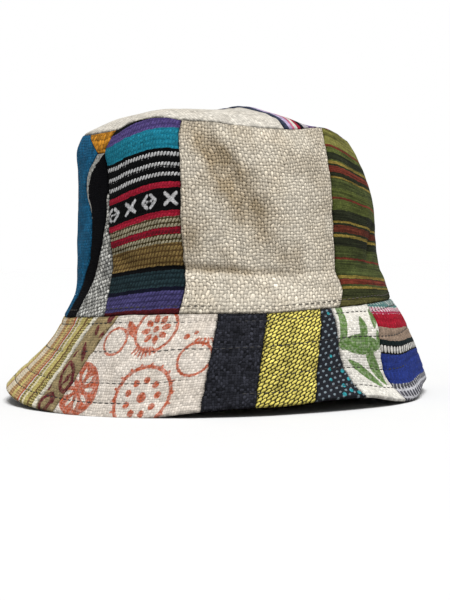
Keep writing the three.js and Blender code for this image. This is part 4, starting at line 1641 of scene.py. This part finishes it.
@dataclass
class Brim:
    """The patches of the brim, from its seam to the crown down to its edge."""

    form: HatForm
    maker: PatchMaker
    thickness: float = 2.4
    cell: float = 0.9
    # the drops of the rows of stitching, and the groove that each presses in
    rows: tuple[float, ...] = (0.08, 0.37, 0.67, 0.855)
    groove_depth: float = 0.4
    groove_width: float = 0.9
    patches: tuple[BrimPatch, ...] = (
        BrimPatch("brim_patch_olive", "olive_stripe", -97, -99),
        BrimPatch("brim_patch_paisley", "maroon_figure", -48, -55, -1.2, Figure.SCROLLS),
        BrimPatch("brim_patch_print", "rust_print", -38, -47, -1.0, Figure.SUNS),
        BrimPatch("brim_patch_charcoal", "charcoal", -2.9, -3.6),
        BrimPatch("brim_patch_yellow", "yellow_float", 12.6, 9.8, -0.3),
        BrimPatch("brim_patch_dotted", "dotted", 31.3, 25, -0.5, Figure.DOTS),
        BrimPatch("brim_patch_leaf", "leaf_print", 35.9, 39.3, -3.1, Figure.LEAVES),
        BrimPatch("brim_patch_band", "bright_stripe", 53.4, 54.5, -3.5),
        BrimPatch("brim_patch_right", "hemp", 97, 100),
        BrimPatch("brim_patch_back_green", "green_stripe", 131, 134),
        BrimPatch("brim_patch_back_plain", "cream", 164, 162),
        BrimPatch("brim_patch_back_blue", "blue_cotton", 202, 204),
        BrimPatch("brim_patch_left", "charcoal", 236, 235),
    )
    # angle, drop, length, width and outline of each drop-shaped figure, whose outline is 0 where it is full
    scrolls: Rows = (
        (-40.6, 0.02, 7, 5, 0), (-44.4, 0.15, 8, 2.6, 0), (-41.2, 0.2, 5, 2.2, 0),
        (-45.8, 0.38, 13, 3.6, 0), (-49.6, 0.4, 5, 2.4, 0), (-48.4, 0.64, 17, 9.6, 1.2),
        (-48.0, 0.66, 7, 3, 0), (-53.6, 0.76, 6, 2.4, 0), (-51.6, 0.93, 11, 7.5, 1.4),
        (-49.0, 0.88, 6, 2.4, 0),
    )
    scroll_lean: tuple[float, float] = (0.2, 0.48)
    # angle and drop of each leaf's two ends, and its width
    sprays: Rows = (
        (33.6, 0.43, 50.5, 0.46, 10.5), (44.6, 0.14, 43.0, 0.44, 5.4), (43.6, 0.44, 50.2, 0.84, 7.2),
        (36.6, 0.58, 48.6, 0.86, 5.6), (52.6, 0.05, 48.4, 0.30, 4.6), (49.6, 0.3, 49.2, 0.5, 3.6),
    )
    # angle and drop of each coloured dot, and its radius
    dots: Rows = (
        (31.3, 0.538, 0.9), (30.6, 0.67, 0.9), (30.2, 0.785, 0.9), (33.4, 0.067, 0.9), (34.6, 0.7, 1.2),
        (36.0, 0.79, 1.2), (33.8, 0.86, 1.2), (35.5, 0.92, 1.2), (37.6, 0.95, 1.2), (33.0, 0.96, 1.2),
    )
    bright_climb: tuple[float, float] = (0.0035, 0.001)
    bright_from: float = 50.0
    bright_bend: float = 75.0

    def build(self) -> list[bpy.types.Object]:
        """Make every patch of the brim, each of which ends where the following one starts.

        Returns:
            The patches.
        """
        turns = [0.0] * (len(self.patches) - 1) + [360.0]
        following = self.patches[1:] + self.patches[:1]
        return [self._patch(*row) for row in zip(self.patches, following, turns)]

    def _patch(self, patch: BrimPatch, following: BrimPatch, turn: float) -> bpy.types.Object:
        """Cut one patch, which ends where the following one starts, and make its wall.

        Args:
            patch: The patch.
            following: The patch to its right.
            turn: A whole turn where that is the first patch again, otherwise nothing.

        Returns:
            The patch's piece.
        """
        width = self.form.brim_width
        rows = ticks(width, self.cell)
        radius = np.interp(rows, (0, 1), self.form.brim_radii)
        angle, to_left, to_right = between_seams(
            patch.seam(rows), following.seam(rows) + turn, radius, self.cell
        )
        drop = np.broadcast_to(rows[:, None], angle.shape)
        crown = self.form.crown_normal(angle, np.zeros_like(drop))
        near = bell(drop * width, MITRE_REACH)
        normal = unit(self.form.brim_normal(angle, drop) + crown * near[..., None])
        to_edge = (1 - drop) * width
        seam = np.minimum.reduce([to_left, to_right, drop * width, to_edge])
        middle = (patch.at_crown + following.at_crown + turn) / 2
        cloth = stack(np.radians(angle - middle) * radius[:, None], -drop * width)
        cut = Cut(self.form.brim(angle, drop), normal, cloth, seam, angle, drop, 0 * drop)
        groove = self.groove_depth * sum(bell((drop - row) * width, self.groove_width) for row in self.rows)
        return self.maker.wall(
            patch.node, cut, self.thickness, patch.cloth, self._band(patch, cut, to_right),
            self._ink(patch, middle, cut), groove, to_edge, flip=True,
        )

    def _band(self, patch: BrimPatch, cut: Cut, to_right: Array) -> Array:
        """Find the place of each point across a patch's stripes.

        Args:
            patch: The patch.
            cut: Its places.
            to_right: Their distances to its right seam.

        Returns:
            The places, in millimetres.
        """
        if patch.cloth == "olive_stripe":
            return to_right
        lag: Array | float = 0.0
        if patch.cloth == "bright_stripe":
            near, far = self.bright_climb
            lag = near * (np.minimum(cut.angle, self.bright_bend) - self.bright_from)
            lag = lag + far * np.maximum(cut.angle - self.bright_bend, 0)
        return np.maximum(cut.place - lag, 0) * self.form.brim_width

    def _ink(self, patch: BrimPatch, middle: float, cut: Cut) -> Array:
        """Measure the distance to the figures of a patch.

        Args:
            patch: The patch.
            middle: The angle of its middle.
            cut: Its places.

        Returns:
            The distances.
        """

        def spot(angle: float, drop: float) -> Array:
            """Find the place on the cloth of an angle and a drop."""
            radius = np.interp(drop, (0, 1), self.form.brim_radii)
            return np.array([math.radians(angle - middle) * radius, -drop * self.form.brim_width])

        at = cut.cloth
        shapes = [np.full(cut.seam.shape, FAR_FROM_INK)]
        if patch.figure is Figure.SUNS:
            shapes += [
                rosette(at, spot(-21.6, 0.15), radius=11.6, petals=8, turn=12),
                fan(at, spot(-23.4, 0.33), width=9.0, height=6.0, strokes=7),
                sun(at, spot(-20.0, 0.80), radius=15.4, rays=18, turn=5),
                ring(at, spot(-7.4, 0.47), radius=8.8, width=1.5),
                fan(at, spot(-5.6, 0.26), width=6.6, height=4.2, strokes=5),
                ring(at, spot(-34.4, 0.27), radius=7.2, width=1.5),
                leaf(at, spot(-32.6, 0.06), spot(-27.4, 0.24), width=4.8),
                disc(at, spot(-11.0, 0.24), radius=1.6),
                disc(at, spot(-8.4, 0.2), radius=1.2),
                cut_disc(at, spot(-41.2, 0.74), radius=14.4),
            ]
        if patch.figure is Figure.LEAVES:
            shapes.append(stroke(at, spot(38.4, 0.0), spot(35.6, 0.45), width=4.4))
            shapes += [leaf(at, spot(*row[:2]), spot(*row[2:4]), row[4]) for row in self.sprays]
        if patch.figure is Figure.DOTS:
            shapes += [disc(at, spot(angle, drop), radius) for angle, drop, radius in self.dots]
        if patch.figure is Figure.SCROLLS:
            for index, (angle, drop, length, width, outline) in enumerate(self.scrolls):
                aside, down = self.scroll_lean
                half = np.array([(-1) ** index * aside, down]) * length
                shape = leaf(at, spot(angle, drop) - half, spot(angle, drop) + half, width)
                shapes.append(np.abs(shape) - outline if outline else shape)
        return np.minimum.reduce(shapes)


@dataclass
class TopCloth:
    """The two halves of the top, which meet at a seam across it."""

    form: HatForm
    maker: PatchMaker
    thickness: float = 1.8
    cell: float = 1.3
    # distances from the rim of the first columns beside the seam's two ends
    end_columns: tuple[float, ...] = (0.0, 0.5, 1.2, 2.2)
    # the least and greatest distance to look for the rim at, and how many places are tried
    search: tuple[float, float, int] = (40, 110, 1401)

    def build(self) -> list[bpy.types.Object]:
        """Make the cream half on the left of the seam and the striped half on the right.

        Returns:
            The two pieces.
        """
        front, back = self._ends()
        angles, _ = self.form.tip_share(*self._on_seam(np.array([front, back])))
        at_front, at_back = float(angles[0]), float(angles[1]) % 360
        return [
            self._half("tip_patch_cream", "cream", (at_back - 360, at_front), (back, front)),
            self._half("tip_patch_stripe", "top_stripe", (at_front, at_back), (front, back)),
        ]

    def _on_seam(self, along: Array) -> tuple[Array, Array]:
        """Give places on the seam, by their distance to the front of where it crosses X."""
        turn = math.radians(self.form.tip_seam_turn)
        return self.form.tip_seam_x + along * math.sin(turn), -along * math.cos(turn)

    def _ends(self) -> tuple[float, float]:
        """Find how far the seam runs to the front and to the back before it meets the rim.

        Returns:
            The two distances, that to the back below 0.
        """
        reach = np.linspace(*self.search)
        shares = [self.form.tip_share(*self._on_seam(sign * reach))[1] for sign in (1, -1)]
        return float(np.interp(1.0, shares[0], reach)), -float(np.interp(1.0, shares[1], reach))

    def _half(
        self, node: str, cloth: str, rim_ends: tuple[float, float], seam_ends: tuple[float, float]
    ) -> bpy.types.Object:
        """Cut one half, with columns from the seam to the rim, and make its wall.

        Args:
            node: The name of the CAD node that it stands for.
            cloth: The name of its cloth.
            rim_ends: The angles of its first and last column on the rim.
            seam_ends: Where they meet the seam, as distances along it.

        Returns:
            The half's piece.
        """
        (start, end), (first, last) = rim_ends, seam_ends
        columns = ticks(math.radians(end - start) * self.form.tip_radius, self.cell, self.end_columns)
        rim_angle = start + (end - start) * columns
        rim = self.form.crown(rim_angle, np.ones_like(rim_angle))
        seam_x, seam_y = self._on_seam(first + (last - first) * columns)
        rows = ticks(self.form.tip_radius, self.cell)[:, None]
        x = seam_x + (rim[:, 0] - seam_x) * rows
        y = seam_y + (rim[:, 1] - seam_y) * rows
        angle, share = self.form.tip_share(x, y)
        to_rim = np.maximum(1 - share, 0) * self.form.tip_radius
        side = self.form.crown_normal(angle, np.ones_like(angle))
        normal = unit(self.form.tip_normal(x, y) + side * bell(to_rim, MITRE_REACH)[..., None])
        across, forward = self.form.from_tip_seam(x, y)
        seam = np.minimum(np.abs(across), to_rim)
        cut = Cut(self.form.tip(x, y), normal, stack(across, -forward), seam, angle, share, 0 * x)
        return self.maker.wall(node, cut, self.thickness, cloth, np.abs(across), FAR_FROM_INK, flip=True)


# Stitching


@dataclass
class Stitching:
    """Rows of stitches, each stitch a short rounded length of thread lying on the cloth."""

    form: HatForm
    length: float = 2.7
    pitch: float = 3.7
    first: float = 0.4
    thickness: float = 0.6
    # how far a stitch stands out, as a share of its thickness, and how deep some of them sink
    stand: float = 0.1
    sunk: float = 0.7
    sunk_size: float = 23.0
    sunk_seed: int = 60
    # degrees between the points of a row, the length of its waves, and where their random numbers start
    step: float = 0.75
    sway_size: float = 14.0
    brim_seed: int = 40
    crown_seed: int = 50
    # how far off the form the cloth is looked for
    reach: float = 3.0
    tree: BVHTree | None = None

    def lay_on(self, pieces: Sequence[bpy.types.Object]) -> None:
        """Take the surfaces that the stitches lie on.

        Args:
            pieces: The patches.
        """
        points: list[Vector] = []
        faces: list[list[int]] = []
        for piece in pieces:
            start = len(points)
            points += [vertex.co.copy() for vertex in piece.data.vertices]
            faces += [[start + index for index in polygon.vertices] for polygon in piece.data.polygons]
        self.tree = BVHTree.FromPolygons(points, faces)

    def _one_stitch(self) -> tuple[Array, Array]:
        """Model one stitch along X from a stretched ball.

        Returns:
            Its points and its faces, all of them triangles.
        """
        bpy.ops.object.select_all(action="DESELECT")
        bpy.ops.mesh.primitive_uv_sphere_add(
            segments=6, ring_count=5, radius=0.5, rotation=(0, math.pi / 2, 0)
        )
        ball = bpy.context.object
        ball.scale = (self.thickness, self.thickness, self.length)
        bpy.ops.object.transform_apply(location=False, rotation=True, scale=True)
        bpy.ops.object.mode_set(mode="EDIT")
        bpy.ops.mesh.quads_convert_to_tris()
        bpy.ops.object.mode_set(mode="OBJECT")
        points = np.array([vertex.co for vertex in ball.data.vertices])
        faces = np.array([polygon.vertices for polygon in ball.data.polygons])
        bpy.data.objects.remove(ball)
        return points, faces

    def sew(
        self, name: str, material: bpy.types.Material, rows: Sequence[tuple[Array, Array]]
    ) -> bpy.types.Object:
        """Sew rows of stitches along lines on the hat.

        Args:
            name: The name of the piece.
            material: The thread's material.
            rows: For each row, points close together along it and the outward directions there.

        Returns:
            The stitches of all the rows as one piece.
        """
        pattern, triangles = self._one_stitch()
        placed = [self._place(pattern, *row, self.sunk_seed + index) for index, row in enumerate(rows)]
        points = np.concatenate(placed)
        starts = np.arange(len(points)) * len(pattern)
        faces = triangles[None] + starts[:, None, None]
        mesh = bpy.data.meshes.new(name)
        mesh.from_pydata((points.reshape(-1, 3) * MM).tolist(), [], faces.reshape(-1, 3).tolist())
        return add_to_scene(name, mesh, material)

    def _place(self, pattern: Array, line: Array, normals: Array, seed: int) -> Array:
        """Copy a stitch all along a row.

        Args:
            pattern: One stitch's points.
            line: Points close together along the row.
            normals: The outward directions there.
            seed: The start of the random numbers.

        Returns:
            The points of each stitch, none of them below the floor.
        """
        run = np.concatenate([[0], np.cumsum(np.linalg.norm(np.diff(line, axis=0), axis=1))])
        starts = np.arange(self.first, run[-1] - self.length, self.pitch)
        ends = [self._snap(line, normals, run, starts + shift) for shift in (0.0, self.length)]
        along = unit(ends[1] - ends[0])
        aside = unit(np.cross(unit(self._read(normals, run, starts + self.length / 2)), along))
        over = np.cross(along, aside)
        sunk = np.maximum(self.sunk * line_noise(starts, self.sunk_size, seed), 0)
        middle = (ends[0] + ends[1]) / 2 + over * (self.thickness * self.stand - sunk)[:, None]
        placed = middle[:, None] + sum(
            pattern[None, :, axis : axis + 1] * way[:, None] for axis, way in enumerate((along, aside, over))
        )
        placed[..., 2] = np.maximum(placed[..., 2], 0)
        return placed

    @staticmethod
    def _read(vectors: Array, run: Array, at: Array) -> Array:
        """Read vectors between the places along a line where they are given."""
        return np.stack([np.interp(at, run, vectors[:, axis]) for axis in range(3)], -1)

    def _snap(self, line: Array, normals: Array, run: Array, at: Array) -> Array:
        """Bring places along a line onto the surface of the cloth.

        Args:
            line: The line's points.
            normals: The outward directions there.
            run: The distances along the line of its points.
            at: The distances along it of the places.

        Returns:
            The places, on the cloth where it lies within reach.
        """
        places, ways = self._read(line, run, at), unit(self._read(normals, run, at))
        for index, (place, way) in enumerate(zip(places, ways)):
            start = Vector((place + self.reach * way) * MM)
            hit = self.tree.ray_cast(start, Vector(-way), 2 * self.reach * MM)[0]
            if hit is not None:
                places[index] = np.array(hit) / MM
        return places

    def _rows(
        self, surface: Surface, normal: Surface, places: Sequence[float], sway: float, seed: int
    ) -> list[tuple[Array, Array]]:
        """Draw rows round the hat.

        Args:
            surface: Gives the points at some angles and rises or drops.
            normal: Gives the outward directions there.
            places: The rows' rises or drops.
            sway: How far a row wanders from that.
            seed: The start of the random numbers.

        Returns:
            For each row, its points and the outward directions at them.
        """
        angle = np.arange(-180, 180 + self.step, self.step)
        rows = []
        for index, place in enumerate(places):
            at = place + sway * line_noise(angle, self.sway_size, seed + index)
            rows.append((surface(angle, at), normal(angle, at)))
        return rows

    def brim_rows(self, drops: Sequence[float], sway: float = 0.006) -> list[tuple[Array, Array]]:
        """Draw the rows round the brim at some drops."""
        return self._rows(self.form.brim, self.form.brim_normal, drops, sway, self.brim_seed)

    def crown_rows(self, rises: Sequence[float], sway: float = 0.004) -> list[tuple[Array, Array]]:
        """Draw the rows round the crown's side at some rises."""
        return self._rows(self.form.crown, self.form.crown_normal, rises, sway, self.crown_seed)


@dataclass(frozen=True)
class Thread:
    """A sewing thread whose colour varies between two tones."""

    name: str
    dark: Colour
    pale: Colour
    relief: float = 0.15

    def material(self) -> bpy.types.Material:
        """Make the thread's material, on places in metres.

        Returns:
            The material.
        """
        made, nodes, shader = new_material(self.name)
        place = Wire(nodes, nodes.add("ShaderNodeTexCoord").outputs["Object"])
        tone = nodes.between(nodes.noise(place, 38.0, 1.0), 0.35, 0.7)
        tone = nodes.noise(place, 900.0, 2.0) * 0.5 + tone * 0.7
        nodes.feed(shader.inputs["Base Color"], nodes.mix(tone, self.dark, self.pale))
        nodes.feed(shader.inputs["Roughness"], nodes.between(tone, 0.0, 1.0, (0.6, 0.8)))
        nodes.bump(shader, nodes.noise(place, 2500.0, 1.0), self.relief * MM)
        return made


# The studio


@dataclass
class Studio:
    """A pale floor, a soft lamp, a pale sky and the camera at the photo's angle. Places are in metres."""

    camera_place: tuple[float, float, float] = (0.0063, -0.8, 0.0834)
    camera_down: float = 2.08
    camera_roll: float = -1.3
    lens: float = 82.74
    sensor: float = 36.0
    nearest: float = 0.01
    furthest: float = 50.0
    floor_size: float = 12.0
    floor_colour: Colour = (0.58, 0.58, 0.58)
    sun_height: float = 66.0
    sun_side: float = 16.0
    sun_spread: float = 30.0
    sun_power: float = 4.6
    sky_power: float = 0.42
    backdrop: float = 1.0

    def build(self) -> None:
        """Make the floor, the lamp, the sky and the camera."""
        for make in (self._floor, self._sun, self._sky, self._camera):
            make()

    def _floor(self) -> None:
        """Make the pale floor."""
        bpy.ops.object.select_all(action="DESELECT")
        bpy.ops.mesh.primitive_plane_add(size=self.floor_size)
        floor = bpy.context.object
        floor.name = "floor"
        made, _, shader = new_material("pale_floor")
        shader.inputs["Base Color"].default_value = (*self.floor_colour, 1.0)
        shader.inputs["Roughness"].default_value = 0.9
        shader.inputs["Specular IOR Level"].default_value = 0.1
        floor.data.materials.append(made)

    def _sun(self) -> None:
        """Make one broad, soft lamp high in front of the hat."""
        data = bpy.data.lights.new("soft_key", "SUN")
        data.energy, data.angle = self.sun_power, math.radians(self.sun_spread)
        lamp = bpy.data.objects.new("soft_key", data)
        turn = Matrix.Rotation(math.radians(self.sun_side), 4, "Z")
        lamp.matrix_world = turn @ Matrix.Rotation(math.radians(90 - self.sun_height), 4, "X")
        bpy.context.scene.collection.objects.link(lamp)

    def _sky(self) -> None:
        """Make the pale surroundings, whose light and look have strengths of their own."""
        world = bpy.data.worlds.new("studio")
        bpy.context.scene.world = world
        world.use_nodes = True
        nodes = Nodes(world.node_tree)
        lit = nodes.wire("ShaderNodeBackground", (WHITENESS, self.sky_power))
        looked_at = nodes.wire("ShaderNodeBackground", (WHITENESS, self.backdrop))
        by_camera = Wire(nodes, nodes.add("ShaderNodeLightPath").outputs["Is Camera Ray"])
        out = nodes.add("ShaderNodeOutputWorld")
        nodes.feed(out.inputs["Surface"], nodes.wire("ShaderNodeMixShader", (by_camera, lit, looked_at)))

    def _camera(self) -> None:
        """Make the camera."""
        data = bpy.data.cameras.new("camera")
        data.lens, data.sensor_width = self.lens, self.sensor
        data.clip_start, data.clip_end = self.nearest, self.furthest
        camera = bpy.data.objects.new("camera", data)
        down = Matrix.Rotation(math.radians(90 - self.camera_down), 4, "X")
        roll = Matrix.Rotation(math.radians(self.camera_roll), 4, "Z")
        camera.matrix_world = Matrix.Translation(self.camera_place) @ down @ roll
        bpy.context.scene.collection.objects.link(camera)
        bpy.context.scene.camera = camera


def main() -> None:
    """Light the studio, dress the frame's solids with the hat's cloth and sew it."""
    logging.basicConfig(level=logging.INFO, format="%(name)s: %(message)s")
    bpy.context.scene.view_settings.view_transform = "Standard"
    Studio().build()
    form, groups = HatForm(), Groups()
    materials = {cloth.name: cloth.material(groups) for cloth in CLOTHS}
    slots = {row["node"]: row["material_slot"] for row in frame["record"]["subparts"]}
    maker = PatchMaker(materials, slots)
    brim = Brim(form, maker)
    pieces = CrownSide(form, maker).build() + brim.build() + TopCloth(form, maker).build()
    brim_thread = Thread("dark_thread", dark=paint(22, 21, 24), pale=paint(62, 58, 56))
    crown_thread = Thread("brown_thread", dark=paint(34, 31, 28), pale=paint(88, 79, 68))
    stitching = Stitching(form)
    stitching.lay_on(pieces)
    stitching.sew("brim_stitching", brim_thread.material(), stitching.brim_rows(brim.rows))
    stitching.sew("crown_stitching", crown_thread.material(), stitching.crown_rows((0.034,)))


if __name__ == "__main__":
    main()
